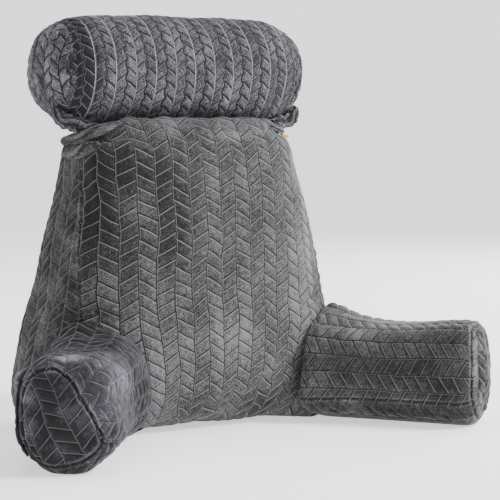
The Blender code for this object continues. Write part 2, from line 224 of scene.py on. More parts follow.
def puff(numbers, column_width=COLUMN, leaf_length=LEAF, groove=0.0026, slant=SLANT):
    """Height of the quilting, from -1 in the grooves to 0 on a leaf: two bell-shaped grooves taken away.

    A leaf line is slanted, so the way across a leaf is 0.8 of its length along the column.
    """
    to_column, to_leaf = leaf_distances(numbers[..., 0], numbers[..., 1], slant)
    to_leaf = to_leaf * leaf_length * LEAF_ACROSS
    return (1.0 - bell(to_column * column_width, groove)) * (1.0 - bell(to_leaf, groove)) - 1.0


def cloth_numbers(across, along, column_width, leaf_length, first=0.0, braid=0.0, waver=0.0):
    """Column and leaf numbers of points on a panel. Waver lets the lines wander, as hand-fed quilting does.

    Braid swings every second column line from side to side once a leaf, so that the leaves overlap as
    in a plait.
    """
    across = across + waver * ripples(across, along, 3, 9, 0.05, 0.16)
    along = along + waver * ripples(across, along, 4, 9, 0.05, 0.16)
    columns, leaves = across / column_width + first, along / leaf_length
    swing = np.sin(2.0 * math.pi * (leaves - 0.2)) * np.cos(math.pi * columns / 2.0) ** 2
    return np.stack([columns + braid * swing, leaves], axis=-1)


# %% [markdown]
# ## Cloth and metal
# Plush is a knit with a dense pile about two millimetres long. It looks soft and dark where the pile points
# at the eye, and pale where it lies over, so its tone wanders in brushed patches. The stitched lines between
# the leaves are thin and dark, partly with painted shade, and a painted highlight runs beside them.
# Hair for every tuft would be far too heavy, so noise at the size of the tufts stands for the pile. The lines
# are worked out from the same two cloth numbers as the relief, so colour and shape always agree.

# %% Colours and a node helper
def linear(code):
    """An sRGB hex colour as the linear values that a shader wants."""
    part = np.array([int(code[i:i + 2], 16) for i in (1, 3, 5)]) / 255.0
    value = np.where(part <= 0.04045, part / 12.92, ((part + 0.055) / 1.055) ** 2.4)
    return (*value.tolist(), 1.0)


def add_node(tree, kind, links, output=None, **settings):
    """Adds a shader node, and gives back the named one of its outputs, or else the first one in use.

    Links fill its inputs, in order or by number or name, with values or with other nodes' outputs.
    Settings are its properties.
    """
    node = tree.nodes.new("ShaderNode" + kind)
    for key, value in settings.items():
        setattr(node, key, value)
    for key, value in links.items() if isinstance(links, dict) else enumerate(links):
        if isinstance(value, bpy.types.NodeSocket):
            tree.links.new(value, node.inputs[key])
        else:
            node.inputs[key].default_value = value
    if output is not None:
        return node.outputs[output]
    return next(socket for socket in node.outputs if socket.enabled)


# A range that eases in and out, and a mix of two colours, which are its sockets 6 and 7
EASED = {"interpolation_type": "SMOOTHSTEP"}
COLOURS = {"data_type": "RGBA"}

# %% Sizes and colours of the pile
# Noise scales are spots per metre. Single tufts are finer than a pixel, so they are drawn 1.6 mm apart
TUFT_SCALE = 620.0
# Rubbed streaks lie about 7 mm apart, and brushed patches are 90 mm across, about a hand wide
STREAK_SCALE, PATCH_SCALE = 150.0, 11.0
# The needle wanders by 0.04 of a leaf to each side, every 17 mm
WANDER_SCALE, WANDER = 60.0, 0.04
# Millimetres from a stitched line at which the painted highlight beside it begins, is full, starts to fade
# and ends
LIP_FROM, LIP_FULL, LIP_FADE, LIP_END = 0.6, 1.2, 1.6, 2.6
# The stitched line is near black: its thread, darkened by painted shade in the groove. The lip is a painted
# highlight
STITCH_AND_SHADE_COLOUR, LIP_HIGHLIGHT_COLOUR, THREAD_COLOUR = "#0f0f10", "#8c8c8e", "#b6b6bc"


# %% The stitched lines in a material
def stitched_lines(tree, place, column_width, leaf_length, slant):
    """The relief's own formula in nodes: from columns and leaves to millimetres from the stitched lines.

    Gives back the column numbers, 1 in odd columns, the distance to the nearest line, and the distances
    below the last leaf line and beside the last column line.
    """
    cloth = add_node(tree, "UVMap", {}, uv_map="cloth")
    columns = add_node(tree, "SeparateXYZ", [cloth], "X")
    leaves = add_node(tree, "SeparateXYZ", [cloth], "Y")
    noise = add_node(tree, "TexNoise", {"Vector": place, "Scale": WANDER_SCALE, "Detail": 2.0})
    shift = add_node(tree, "Math", [noise, 2.0 * WANDER, -WANDER], operation="MULTIPLY_ADD")
    columns = add_node(tree, "Math", [columns, shift], operation="ADD")
    leaves = add_node(tree, "Math", [leaves, shift], operation="ADD")
    # The slant turns over in odd columns, which start half a leaf later
    index = add_node(tree, "Math", [columns], operation="FLOOR")
    odd = add_node(tree, "Math", [index, 2.0], operation="FLOORED_MODULO")
    turn = add_node(tree, "Math", [odd, -2.0, 1.0], operation="MULTIPLY_ADD")
    share = add_node(tree, "Math", [columns], operation="FRACT")
    across = add_node(tree, "Math", [share, 0.5], operation="SUBTRACT")
    slope = add_node(tree, "Math", [across, turn], operation="MULTIPLY")
    slope = add_node(tree, "Math", [slope, slant], operation="MULTIPLY")
    phase = add_node(tree, "Math", [leaves, slope], operation="ADD")
    phase = add_node(tree, "Math", [odd, 0.5, phase], operation="MULTIPLY_ADD")
    # From numbers to millimetres
    leaf_mm, column_mm = leaf_length * LEAF_ACROSS * 1000.0, column_width * 1000.0
    to_leaf = add_node(tree, "Math", [phase, 0.5], operation="PINGPONG")
    to_leaf = add_node(tree, "Math", [to_leaf, leaf_mm], operation="MULTIPLY")
    to_column = add_node(tree, "Math", [columns, 0.5], operation="PINGPONG")
    to_column = add_node(tree, "Math", [to_column, column_mm], operation="MULTIPLY")
    nearest = add_node(tree, "Math", [to_leaf, to_column], operation="MINIMUM")
    downward = add_node(tree, "Math", [phase, -1.0], operation="MULTIPLY")
    below = add_node(tree, "Math", [downward], operation="FRACT")
    below = add_node(tree, "Math", [below, leaf_mm], operation="MULTIPLY")
    beside = add_node(tree, "Math", [share, column_mm], operation="MULTIPLY")
    return columns, odd, nearest, below, beside


# %% Quilted plush
def quilted_plush(name, dark, middle, pale, column_width=COLUMN, leaf_length=LEAF, slant=SLANT, ridge=0.0,
                  grain=1.0, lip_highlights=1.0, stitch=1.0):
    """Short plush quilted in a herringbone: lengths in metres, and ridge raises every second column line.

    Level is the sum of the piece's tone, brushed patches, streaks and tufts, and runs from dark through
    middle to pale. The grain, lip and stitch numbers set the strength of the speckle and of the painted
    highlight beside the stitching, and the width of the dark stitched line with its painted shade.
    """
    material = bpy.data.materials.new(name)
    material.use_nodes = True
    tree = material.node_tree
    shader = tree.nodes["Principled BSDF"]
    place = add_node(tree, "TexCoord", {}, "Object")
    columns, odd, nearest, below, beside = stitched_lines(tree, place, column_width, leaf_length, slant)
    # The stitched line is about 1 mm wide, partly painted shade, and a painted highlight lies just below it
    # and to its right
    line = add_node(tree, "MapRange", [nearest, 0.40 * stitch, 1.25 * stitch, 1.0, 0.0], **EASED)
    lip_highlight_sides = []
    for distance in (below, beside):
        rising = add_node(tree, "MapRange", [distance, LIP_FROM, LIP_FULL, 0.0, 1.0], **EASED)
        falling = add_node(tree, "MapRange", [distance, LIP_FADE, LIP_END, 1.0, 0.0], **EASED)
        lip_highlight_sides.append(add_node(tree, "Math", [rising, falling], operation="MULTIPLY"))
    fainter = add_node(tree, "Math", [lip_highlight_sides[1], 0.7], operation="MULTIPLY")
    lip_highlight = add_node(tree, "Math", [lip_highlight_sides[0], fainter], operation="MAXIMUM")
    quilt = add_node(tree, "Attribute", {}, "Fac", attribute_name="quilt")
    line = add_node(tree, "Math", [line, quilt], operation="MULTIPLY")
    lip_highlight = add_node(tree, "Math", [lip_highlight, quilt], operation="MULTIPLY")
    # Speckle of tufts, rubbed streaks and brushed patches, added up on the piece's own tone
    tufts = add_node(tree, "TexNoise",
                     {"Vector": place, "Scale": TUFT_SCALE, "Detail": 3.0, "Roughness": 0.7})
    streaks = add_node(tree, "TexNoise",
                       {"Vector": place, "Scale": STREAK_SCALE, "Detail": 3.0, "Roughness": 0.6})
    patches = add_node(tree, "TexNoise",
                       {"Vector": place, "Scale": PATCH_SCALE, "Detail": 4.0, "Roughness": 0.55})
    tone = add_node(tree, "Attribute", {}, "Fac", attribute_name="tone")
    base = add_node(tree, "Math", [tone, 0.5], operation="ADD")
    brushed = add_node(tree, "Math", [patches, 1.7, -0.85], operation="MULTIPLY_ADD")
    base = add_node(tree, "Math", [base, brushed], operation="ADD")
    base = add_node(tree, "Math", [odd, -0.10, base], operation="MULTIPLY_ADD")
    streaky = add_node(tree, "Math", [streaks, 0.9, -0.45], operation="MULTIPLY_ADD")
    level = add_node(tree, "Math", [base, streaky], operation="ADD")
    speckle = add_node(tree, "Math", [tufts, 3.0 * grain, -1.5 * grain], operation="MULTIPLY_ADD")
    level = add_node(tree, "Math", [level, speckle], operation="ADD")
    lower = add_node(tree, "MapRange", [level, 0.0, 0.5, 0.0, 1.0], **EASED)
    colour = add_node(tree, "Mix", {0: lower, 6: linear(dark), 7: linear(middle)}, **COLOURS)
    upper = add_node(tree, "MapRange", [level, 0.5, 1.15, 0.0, 1.0], **EASED)
    colour = add_node(tree, "Mix", {0: upper, 6: colour, 7: linear(pale)}, **COLOURS)
    # Where the pile is dark the painted highlights stand out, and where it is pale the dark stitching does
    strength = add_node(tree, "MapRange", [base, 0.1, 0.9, 0.50 * lip_highlights, 0.37 * lip_highlights], **EASED)
    share = add_node(tree, "Math", [lip_highlight, strength], operation="MULTIPLY")
    colour = add_node(tree, "Mix", {0: share, 6: colour, 7: linear(LIP_HIGHLIGHT_COLOUR)}, **COLOURS)
    strength = add_node(tree, "MapRange", [base, -0.1, 0.5, 0.40, 0.92], **EASED)
    share = add_node(tree, "Math", [line, strength], operation="MULTIPLY")
    colour = add_node(tree, "Mix", {0: share, 6: colour, 7: linear(STITCH_AND_SHADE_COLOUR)}, **COLOURS)
    # Height in millimetres: a leaf swells by 1.1 within 5 of its edge, tufts stand out, and the thread
    # sinks in
    swell = add_node(tree, "MapRange", [nearest, 0.0, 5.0, 0.0, 1.0], **EASED)
    height = add_node(tree, "Math", [swell, 1.1], operation="MULTIPLY")
    height = add_node(tree, "Math", [tufts, 0.55, height], operation="MULTIPLY_ADD")
    height = add_node(tree, "Math", [streaks, 0.5, height], operation="MULTIPLY_ADD")
    height = add_node(tree, "Math", [line, -0.7, height], operation="MULTIPLY_ADD")
    if ridge:
        # Every second column line is a raised thread of pile, 1 mm wide and worn in places
        raised = add_node(tree, "Math", [columns, 1.0], operation="ADD")
        raised = add_node(tree, "Math", [raised, 1.0], operation="PINGPONG")
        raised = add_node(tree, "Math", [raised, column_width * 1000.0], operation="MULTIPLY")
        thread = add_node(tree, "MapRange", [raised, 0.25, 0.8, 1.0, 0.0], **EASED)
        worn = add_node(tree, "MapRange", [tufts, 0.38, 0.56, 0.45, 1.0], **EASED)
        share = add_node(tree, "Math", [worn, ridge], operation="MULTIPLY")
        share = add_node(tree, "Math", [thread, share], operation="MULTIPLY")
        colour = add_node(tree, "Mix", {0: share, 6: colour, 7: linear(THREAD_COLOUR)}, **COLOURS)
        height = add_node(tree, "Math", [thread, 1.6 * ridge, height], operation="MULTIPLY_ADD")
    bump = add_node(tree, "Bump", {"Height": height, "Distance": 0.001, "Strength": 0.9})
    tree.links.new(colour, shader.inputs["Base Color"])
    tree.links.new(bump, shader.inputs["Normal"])
    # Plush scatters light from its standing pile: a rough, weak gloss and a sheen at the edges
    shader.inputs["Roughness"].default_value = 0.88
    shader.inputs["Specular IOR Level"].default_value = 0.25
    shader.inputs["Sheen Weight"].default_value = 0.28
    shader.inputs["Sheen Roughness"].default_value = 0.35
    shader.inputs["Sheen Tint"].default_value = linear("#b9b9c2")
    return material


# %% [markdown]
# ## The backrest
# The backrest is a wedge of shredded foam in a sewn cover: a front panel that wraps round to the sides,
# a gusset on each side, and a back panel. Seen from above each section is a crowned box, fuller in front.
# The formula is the solid's own, so that the cover lies where the solid does. Each panel is a grid between
# two seams, laid out by lengths of cloth. The seams pull the cover in, and the quilting stands out.

# %% Backrest surface
BACKREST_HEIGHT = 0.480
HALF_WIDTH_BASE, HALF_WIDTH_TOP = 0.305, 0.183
FRONT_BASE, FRONT_TOP = 0.180, 0.120
REAR_BASE, REAR_TOP = 0.102, 0.066
TAPER_BEND, FRONT_BEND, REAR_BEND = 1.19, 0.8, 1.25
FRONT_CROWN, REAR_CROWN = 3.2, 4.0
TOP_ROUND, BASE_EDGE = 0.049, 0.016
FRONT_UNDERCUT, SIDE_UNDERCUT, REAR_UNDERCUT, UNDERCUT_HEIGHT = 0.095, 0.075, 0.020, 0.110
UNDERCUT_FADE, UNDERCUT_KEPT = 0.040, (0.030, 0.080)
ROLL_SETBACK = 0.020
SEAM_ANGLE, SEAM_REACH = math.radians(55.8), 0.2190
ARM_SPLAY = math.radians(36.3)
ARM_END_X, ARM_END_Y = 0.368, 0.343
BASE_RUN, TOP_RUN = 0.100, 0.070
COVER_RUN = BACKREST_HEIGHT - BASE_EDGE - TOP_ROUND + (BASE_EDGE + TOP_ROUND) * math.pi / 2


def cover_height(run):
    """Height after a run up the cover: round the base edge, up the side, round the top edge."""
    base_arc = BASE_EDGE * math.pi / 2
    side = BACKREST_HEIGHT - BASE_EDGE - TOP_ROUND
    in_base = BASE_EDGE * (1.0 - np.cos(np.clip(run, 0.0, base_arc) / BASE_EDGE))
    past = np.clip(run - base_arc - side, 0.0, TOP_ROUND * math.pi / 2)
    return in_base + np.clip(run - base_arc, 0.0, side) + TOP_ROUND * np.sin(past / TOP_ROUND)


def backrest_surface(angle, run):
    """Crowned box section at the height that the run reaches, drawn in at the top, base and arm seams.

    Beyond the cover's two ends the section shrinks to its middle, which closes the top and the underside.
    """
    height = cover_height(run)
    left = 1.0 - height / BACKREST_HEIGHT
    half_width = HALF_WIDTH_TOP + (HALF_WIDTH_BASE - HALF_WIDTH_TOP) * left ** TAPER_BEND
    front = FRONT_TOP + (FRONT_BASE - FRONT_TOP) * left ** FRONT_BEND
    rear = REAR_TOP + (REAR_BASE - REAR_TOP) * left ** REAR_BEND
    from_top = np.clip((height - BACKREST_HEIGHT + TOP_ROUND) / TOP_ROUND, 0.0, 1.0)
    inset = TOP_ROUND * (1.0 - np.sqrt(np.maximum(1.0 - from_top ** 2, 0.0)))
    low = np.clip(1.0 - height / BASE_EDGE, 0.0, 1.0)
    inset = inset + BASE_EDGE * (1.0 - np.sqrt(np.maximum(1.0 - low ** 2, 0.0)))
    ahead = np.cos(angle) > 0
    crown = np.where(ahead, FRONT_CROWN, REAR_CROWN)
    x = (half_width - inset) * signed_power(np.sin(angle), 2.0 / crown)
    y = -(np.where(ahead, front, rear) - inset) * signed_power(np.cos(angle), 2.0 / crown)
    beyond = np.abs(x) * math.cos(SEAM_ANGLE) - y * math.sin(SEAM_ANGLE) - SEAM_REACH
    from_arm = np.abs((np.abs(x) - ARM_END_X) * math.cos(ARM_SPLAY) + (y + ARM_END_Y) * math.sin(ARM_SPLAY))
    behind_arm = smooth_step(-UNDERCUT_FADE, 0.0, beyond) * (1.0 - smooth_step(*UNDERCUT_KEPT, from_arm))
    under = np.clip(1.0 - height / UNDERCUT_HEIGHT, 0.0, 1.0)
    undercut = (1.0 - np.sqrt(1.0 - under ** 2)) * (1.0 - behind_arm)
    x = x * (1.0 - undercut * SIDE_UNDERCUT / half_width)
    y = y * (1.0 - undercut * np.where(y < 0, FRONT_UNDERCUT / front, REAR_UNDERCUT / rear))
    closing = np.clip(1.0 + run / BASE_RUN, 0.0, 1.0) * np.clip(1.0 - (run - COVER_RUN) / TOP_RUN, 0.0, 1.0)
    point = np.stack(np.broadcast_arrays(x * closing, y * closing, height), axis=-1)
    for side in (-1.0, 1.0):
        facing = np.array([side * math.cos(SEAM_ANGLE), -math.sin(SEAM_ANGLE), 0.0])
        past = point @ facing - SEAM_REACH
        past = 0.5 * (past + np.sqrt(past ** 2 + 0.009 ** 2))
        point = point - past[..., None] * facing
    return point


# %% Where the backrest's seams run
ROWS = 232
# The front panel reaches 240 mm to each side of its middle, or 0.6 of the way round where that is less
FRONT_REACH, FRONT_SHARE = 0.240, 0.60
REAR_SEAM_ANGLE = math.radians(136.0)


def along_section(run, count=1441):
    """Angles from the middle of the front to the middle of the back, with the length of cover up to each."""
    angle = np.linspace(0.0, math.pi, count)
    point = backrest_surface(angle[None, :], run[:, None])
    step = np.linalg.norm(np.diff(point, axis=1), axis=2)
    return angle, np.concatenate([np.zeros((len(run), 1)), np.cumsum(step, axis=1)], axis=1)


run_rows = np.concatenate([np.linspace(-BASE_RUN, -0.006, 9), np.linspace(0.0, COVER_RUN, ROWS - 24),
                           np.linspace(COVER_RUN + 0.004, COVER_RUN + TOP_RUN, 15)])
section_angle, section_reach = along_section(run_rows)
half_section = section_reach[:, -1]
front_seam = np.minimum(FRONT_REACH, FRONT_SHARE * half_section)
rear_seam = np.array([np.interp(REAR_SEAM_ANGLE, section_angle, reach) for reach in section_reach])
print("front panel half width", round(float(front_seam.max()), 3), "m; half section at the base",
      round(float(half_section[20]), 3), "m")

# %% [markdown]
# ### Creases, brushed patches and painted light
# Filled cloth is never even. The cover is dragged into creases where it is sewn to the straps and the arms,
# and hands leave darker and paler patches in the pile; some patches are painted light and shade instead.
# Noise would put them anywhere, so two short tables name the few that show: a crease is a valley along a
# line, and a patch a soft oval of tone.

# %% Creases on the front panel
CREASES = (
    # across and up at one end, across and up at the other, width, depth; metres on the front panel
    (-0.220, 0.452, -0.120, 0.478, 0.0070, -0.0050),
    (-0.150, 0.474, -0.060, 0.440, 0.0090, -0.0035),
    (-0.080, 0.486, -0.020, 0.452, 0.0070, -0.0030),
    (0.020, 0.486, 0.060, 0.448, 0.0080, -0.0030),
    (0.230, 0.470, 0.110, 0.482, 0.0080, -0.0045),
    (-0.215, 0.440, -0.190, 0.300, 0.0110, -0.0028),
    (-0.225, 0.215, -0.150, 0.185, 0.0100, -0.0040),
    (0.232, 0.215, 0.150, 0.180, 0.0100, -0.0045),
    (0.060, 0.070, 0.190, 0.120, 0.0110, -0.0050),
    (-0.090, 0.050, 0.060, 0.045, 0.0120, -0.0040),
)
# Some patches are painted light: highlights on the top front edge, the right edge and the lower middle, and
# painted shade at the foot and on the left, where the pile is brushed dark too
PILE_AND_LIGHT_PATCHES = (
    # across, up, half width, half height, tone
    (-0.190, 0.390, 0.034, 0.085, -0.60),
    (-0.215, 0.300, 0.018, 0.060, -0.35),
    (-0.120, 0.425, 0.060, 0.040, -0.25),
    (-0.165, 0.330, 0.035, 0.050, -0.20),
    (-0.095, 0.335, 0.045, 0.075, -0.22),
    (0.020, 0.445, 0.060, 0.025, -0.20),
    (0.060, 0.200, 0.120, 0.090, 0.22),
    (-0.030, 0.110, 0.120, 0.060, 0.15),
    (0.175, 0.300, 0.035, 0.150, 0.30),
    (0.045, 0.470, 0.040, 0.010, 0.45),
    (0.205, 0.360, 0.014, 0.160, 0.40),
    (-0.110, 0.240, 0.060, 0.120, -0.15),
    (0.100, 0.045, 0.060, 0.036, -0.50),
    (-0.135, 0.035, 0.030, 0.030, 0.25),
)


def crease_depth(u, v):
    """Sum of valleys: each is a bell across a straight line, fading at the line's two ends."""
    total = np.zeros(np.broadcast(u, v).shape)
    for u0, v0, u1, v1, width, depth in CREASES:
        length = math.hypot(u1 - u0, v1 - v0)
        along = ((u - u0) * (u1 - u0) + (v - v0) * (v1 - v0)) / length
        across = ((u - u0) * (v1 - v0) - (v - v0) * (u1 - u0)) / length
        ends = smooth_step(-0.01, 0.3 * length, along)
        ends = ends * (1.0 - smooth_step(0.6 * length, length + 0.01, along))
        total += depth * (bell(across, width) - 0.5 * bell(across - 1.7 * width, width)) * ends
    return total


def pile_and_light_tone(u, v):
    """Sum of soft oval patches."""
    total = np.zeros(np.broadcast(u, v).shape)
    for u0, v0, wide, high, tone in PILE_AND_LIGHT_PATCHES:
        total += tone * np.exp(-(((u - u0) / wide) ** 2) - ((v - v0) / high) ** 2)
    return total


# %% One panel of the backrest
# Metres: how deep a seam draws in and how wide, the puckers beside it, and the slow lumps of the filling
SEAM_DEPTH, SEAM_WIDTH = 0.0026, 0.006
PUCKER, PUCKER_WIDTH, FILLING_LUMP = 0.0012, 0.020, 0.0022
# The roll presses the top flat within 52 mm of its middle, and the cover swells by 6.5 mm beyond
PRESSED_HALF_WIDTH, TOP_SWELL = 0.052, 0.0065
WAVER, LOOSE_WAVER = 0.0011, 0.0022


def backrest_panel(start, end, columns, measure, first, relief, edge_start, edge_end, extra=None, tone=0.0,
                   quilt=1.0):
    """A panel between two seams, given by the length of cover from the middle of the front to each.

    Points move out along the surface's normal by the quilting, lumps and creases, and in at the seams.
    """
    share = np.linspace(0.0, 1.0, columns)[None, :]
    reach = start[:, None] + (end - start)[:, None] * share
    angle = np.array([np.interp(np.abs(r), grid, section_angle) * np.sign(r)
                      for r, grid in zip(reach, section_reach)])
    run = np.broadcast_to(run_rows[:, None], angle.shape)
    point = backrest_surface(angle, run)
    normal = normals_of(backrest_surface, angle, run)
    u, v = measure(reach, run)
    numbers = cloth_numbers(u, v, COLUMN, LEAF, first, waver=WAVER + LOOSE_WAVER * (1.0 - quilt))
    outline = np.ones_like(run)
    beside_seam = np.zeros_like(run)
    nearest_seam = np.full_like(run, 9.0)
    for edge, on in ((reach - start[:, None], edge_start), (end[:, None] - reach, edge_end)):
        if on:
            outline = outline * (1.0 - bell(edge, SEAM_WIDTH))
            beside_seam = np.maximum(beside_seam, bell(edge, PUCKER_WIDTH))
            nearest_seam = np.minimum(nearest_seam, edge)
    ends = smooth_step(-0.02, 0.004, run) * (1.0 - smooth_step(COVER_RUN + 0.02, COVER_RUN + 0.05, run))
    raised = relief * puff(numbers) * outline * ends
    seam = -SEAM_DEPTH * (1.0 - outline) * ends
    pucker = PUCKER * ripples(reach, run, 5, 10, 0.012, 0.03) * beside_seam
    lumps = FILLING_LUMP * ripples(point[..., 0] + point[..., 1], point[..., 2], 11, 12, 0.09, 0.25)
    moved = raised + seam + (lumps + pucker) * ends
    shade = tone + 0.22 * (1.0 - quilt) * ripples(reach, run, 8, 12, 0.03, 0.12)
    if extra is not None:
        moved = moved + extra(u, v) * ends * outline
        # The patches add brushed pile and painted light and shade to the front panel's tone
        shade = shade + pile_and_light_tone(u, v)
    flat_top = smooth_step(COVER_RUN - 0.03, COVER_RUN, run)
    point = point + normal * (moved * (1.0 - flat_top))[..., None]
    # The top is pressed flat under the roll and swells up in front of it and behind it
    from_roll = np.abs(point[..., 1] - ROLL_SETBACK) - PRESSED_HALF_WIDTH
    swell = smooth_step(0.0, 0.030, from_roll) * smooth_step(COVER_RUN - 0.045, COVER_RUN - 0.012, run)
    uneven = 1.0 + 0.25 * ripples(point[..., 0], point[..., 1], 12, 8, 0.03, 0.08)
    point[..., 2] += TOP_SWELL * swell * uneven
    point[..., 2] = np.where(run <= 0.0, 0.0, np.maximum(point[..., 2], 0.0))
    return point, numbers, shade + 0.6 * seam_line_and_highlight(nearest_seam), quilt


# %% Directions of the columns
def front_measure(reach, run):
    """Columns stand upright on the front, a little wider at the viewer's left.

    Low down they bend to the left and close in, because the arm seams drag the cover out there.
    """
    low = 1.0 - smooth_step(0.0, 0.19, run)
    twist = 0.0035 * ripples(reach, run, 6, 8, 0.05, 0.12) * (1.0 - smooth_step(0.02, 0.09, run))
    bend = 0.008 * (1.0 - smooth_step(0.22, 0.36, run)) + 0.012 * low
    u = (reach + 0.45 * reach * reach - 0.0044) * (1.0 + 0.20 * low) + bend + twist
    return u, run + twist


def back_measure(reach, run):
    """Columns stand upright on the back, counted from its middle."""
    return reach - np.sign(reach) * half_section[:, None], run


def gusset_measure(reach, run):
    """On a gusset the columns lean with the backrest's rear edge."""
    lean = rear_seam[:, None] - np.abs(reach)
    return lean * 0.97 + 0.22 * run, run * 0.97 - 0.22 * lean


# %% The backrest's cover
# Charcoal knitted plush: its standing pile is speckled, and every stitched leaf shows
plush_back = quilted_plush("plush_charcoal_backrest", "#1b1b1c", "#4b4b4c", "#7a7a7b", grain=1.25, lip_highlights=1.25)
panels = [
    backrest_panel(-front_seam, front_seam, 194, front_measure, 1.0, 0.0018, True, True, crease_depth, -0.03),
    backrest_panel(front_seam, rear_seam, 64, gusset_measure, 0.3, 0.0016, True, True, None, -0.05, 0.7),
    backrest_panel(-rear_seam, -front_seam, 64, gusset_measure, 0.3, 0.0012, True, True, None, -0.22, 0.45),
    backrest_panel(rear_seam, half_section, 56, back_measure, 0.0, 0.0018, True, False, tone=-0.05),
    backrest_panel(-half_section, -rear_seam, 56, back_measure, 0.0, 0.0018, False, True, tone=-0.05),
]
backrest = make_piece("backrest_cover", panels, plush_back)
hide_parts("backrest")
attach(backrest, "root")

# %% [markdown]
# ## The arms
# Each arm is a bolster: a tube of the same cloth, closed by an end panel, and sewn to the backrest's lower
# side. Its section is a rounded box. The tube's columns run along the arm, and the end panel's lean across
# it. It could be a box with bevelled edges, but its faces would know nothing of the cloth's directions.
# One class holds an arm's directions, so that the same formulas make both arms, mirrored by a sign.

# %% Arm surface
ARM_HALF_WIDTH, ARM_ROOT_HALF_WIDTH = 0.070, 0.077
ARM_HEIGHT, ARM_CROWN = 0.164, 3.0
ARM_EDGE_ROUND, ARM_END_DOME = 0.028, 0.008
ARM_ROOT_RISE, ARM_ROOT_RISE_LENGTH = 0.023, 0.042
ARM_SAG, ARM_BASE_SINK = 0.007, 0.004
GAP = 0.0003
ARM_COLUMN = 0.0272
# The inner and outer upper edges are rounder than the crown by these amounts
INNER_SOFTER, OUTER_SOFTER = 0.95, 0.70
# At the root the cover rises against the backrest, tucks in at the seam, and flares out along it low down
ROOT_RISE_SHARE, ROOT_LIP, ROOT_LIP_LENGTH = 0.85, 0.002, 0.016
ROOT_TUCK, ROOT_TUCK_LENGTH = 0.05, 0.007
ROOT_FLARE, ROOT_FLARE_LENGTH = {-1.0: 0.008, 1.0: 0.030}, 0.050
# The end panel is flat up to this share of its half width, and rounds over from there
FLAT_SHARE = 0.55


class Arm:
    """One arm's directions: ahead to its end panel, outward, and the face of its seam on the backrest."""

    def __init__(self, side):
        self.side = side
        self.ahead = np.array([side * math.sin(ARM_SPLAY), -math.cos(ARM_SPLAY), 0.0])
        self.outward = np.array([side * math.cos(ARM_SPLAY), math.sin(ARM_SPLAY), 0.0])
        self.end = np.array([side * ARM_END_X, -ARM_END_Y, 0.0])
        self.seam = np.array([side * math.cos(SEAM_ANGLE), -math.sin(SEAM_ANGLE), 0.0])
        self.in_seam = np.array([-side * math.sin(SEAM_ANGLE), -math.cos(SEAM_ANGLE), 0.0])

    def section(self, angle, inset):
        """A rounded box section drawn in by inset, as outward and up. Angle 0 is the underside's middle."""
        low = inset - ARM_BASE_SINK
        high = ARM_HEIGHT - inset
        softer = np.where(np.sin(angle) < 0.0, INNER_SOFTER, OUTER_SOFTER)
        crown = ARM_CROWN - softer * smooth_step(0.0, 0.6, np.cos(angle))
        out = (ARM_HALF_WIDTH - inset) * signed_power(np.sin(angle), 2.0 / crown)
        up = (low + high) / 2.0 - (high - low) / 2.0 * signed_power(np.cos(angle), 2.0 / crown)
        return out, np.maximum(up, 0.0)

    def tube(self, angle, part):
        """The tube's cover: part is 0 at the rounded end edge, 1 on the seam face, and past 1 it closes.

        The section is carried straight back to the seam face, widened a little on the way. It sags in the
        middle of its run, and rises, tucks in and flares at the root.
        """
        inside = np.clip(part, 0.0, 1.0)
        out, up = self.section(angle, 0.0)
        start = self.end + out[..., None] * self.outward - ARM_EDGE_ROUND * self.ahead
        slope = float(self.ahead @ self.seam)
        run = (start @ self.seam - SEAM_REACH - GAP) / slope
        widen = 1.0 + (ARM_ROOT_HALF_WIDTH / ARM_HALF_WIDTH - 1.0) * inside
        left = run * (1.0 - inside)
        outer = smooth_step(-0.6, 0.5, out / ARM_HALF_WIDTH)
        rise = ROOT_RISE_SHARE * ARM_ROOT_RISE * bell(left, ARM_ROOT_RISE_LENGTH) * outer
        rise = rise + ROOT_LIP * bell(left, ROOT_LIP_LENGTH)
        up = up + (rise - ARM_SAG * np.sin(math.pi * inside) ** 2) * (up / ARM_HEIGHT) ** 3
        tuck = 1.0 - ROOT_TUCK * np.exp(-left / ROOT_TUCK_LENGTH)
        middle = ARM_HEIGHT * 0.5
        out = out * widen * tuck
        up = middle + (up - middle) * tuck
        back = ARM_EDGE_ROUND + run * inside
        point = self.end + out[..., None] * self.outward - back[..., None] * self.ahead
        inner = smooth_step(0.2, 1.0, -out / ARM_HALF_WIDTH) * (1.0 - up / ARM_HEIGHT)
        inner = np.clip(inner, 0.0, 1.0)
        flare = ROOT_FLARE[self.side] * (inner + 1.7 * inner ** 4) * bell(left, ROOT_FLARE_LENGTH)
        point = point + flare[..., None] * self.in_seam
        past = point @ self.seam - SEAM_REACH - GAP
        past = np.where(part >= 1.0, past, np.minimum(past, 0.0)) / slope
        point = point - past[..., None] * self.ahead
        point[..., 2] = np.maximum(up, 0.0)
        closing = np.clip(2.0 - part, 0.0, 1.0)[..., None]
        centre = self.end - ((self.end @ self.seam - SEAM_REACH - GAP) / slope) * self.ahead
        centre = centre + np.array([0.0, 0.0, middle])
        return np.where(part[..., None] > 1.0, centre + (point - centre) * closing, point)

    def end_panel(self, angle, share):
        """The end panel as a slight dome with a rounded edge: share 0 in its middle, 1 on the tube's edge."""
        turn = np.clip((share - FLAT_SHARE) / (1.0 - FLAT_SHARE), 0.0, 1.0) * math.pi / 2
        inset = ARM_EDGE_ROUND * (1.0 - np.sin(turn))
        back = ARM_EDGE_ROUND * (1.0 - np.cos(turn))
        out, up = self.section(angle, inset)
        scale = np.clip(share / FLAT_SHARE, 0.0, 1.0)
        middle = ARM_HEIGHT * 0.5
        out = out * scale
        up = middle + (up - middle) * scale
        dome = ARM_END_DOME * (1.0 - scale ** 2)
        point = self.end + out[..., None] * self.outward - (back - dome)[..., None] * self.ahead
        point[..., 2] = np.maximum(up, 0.0)
        return point
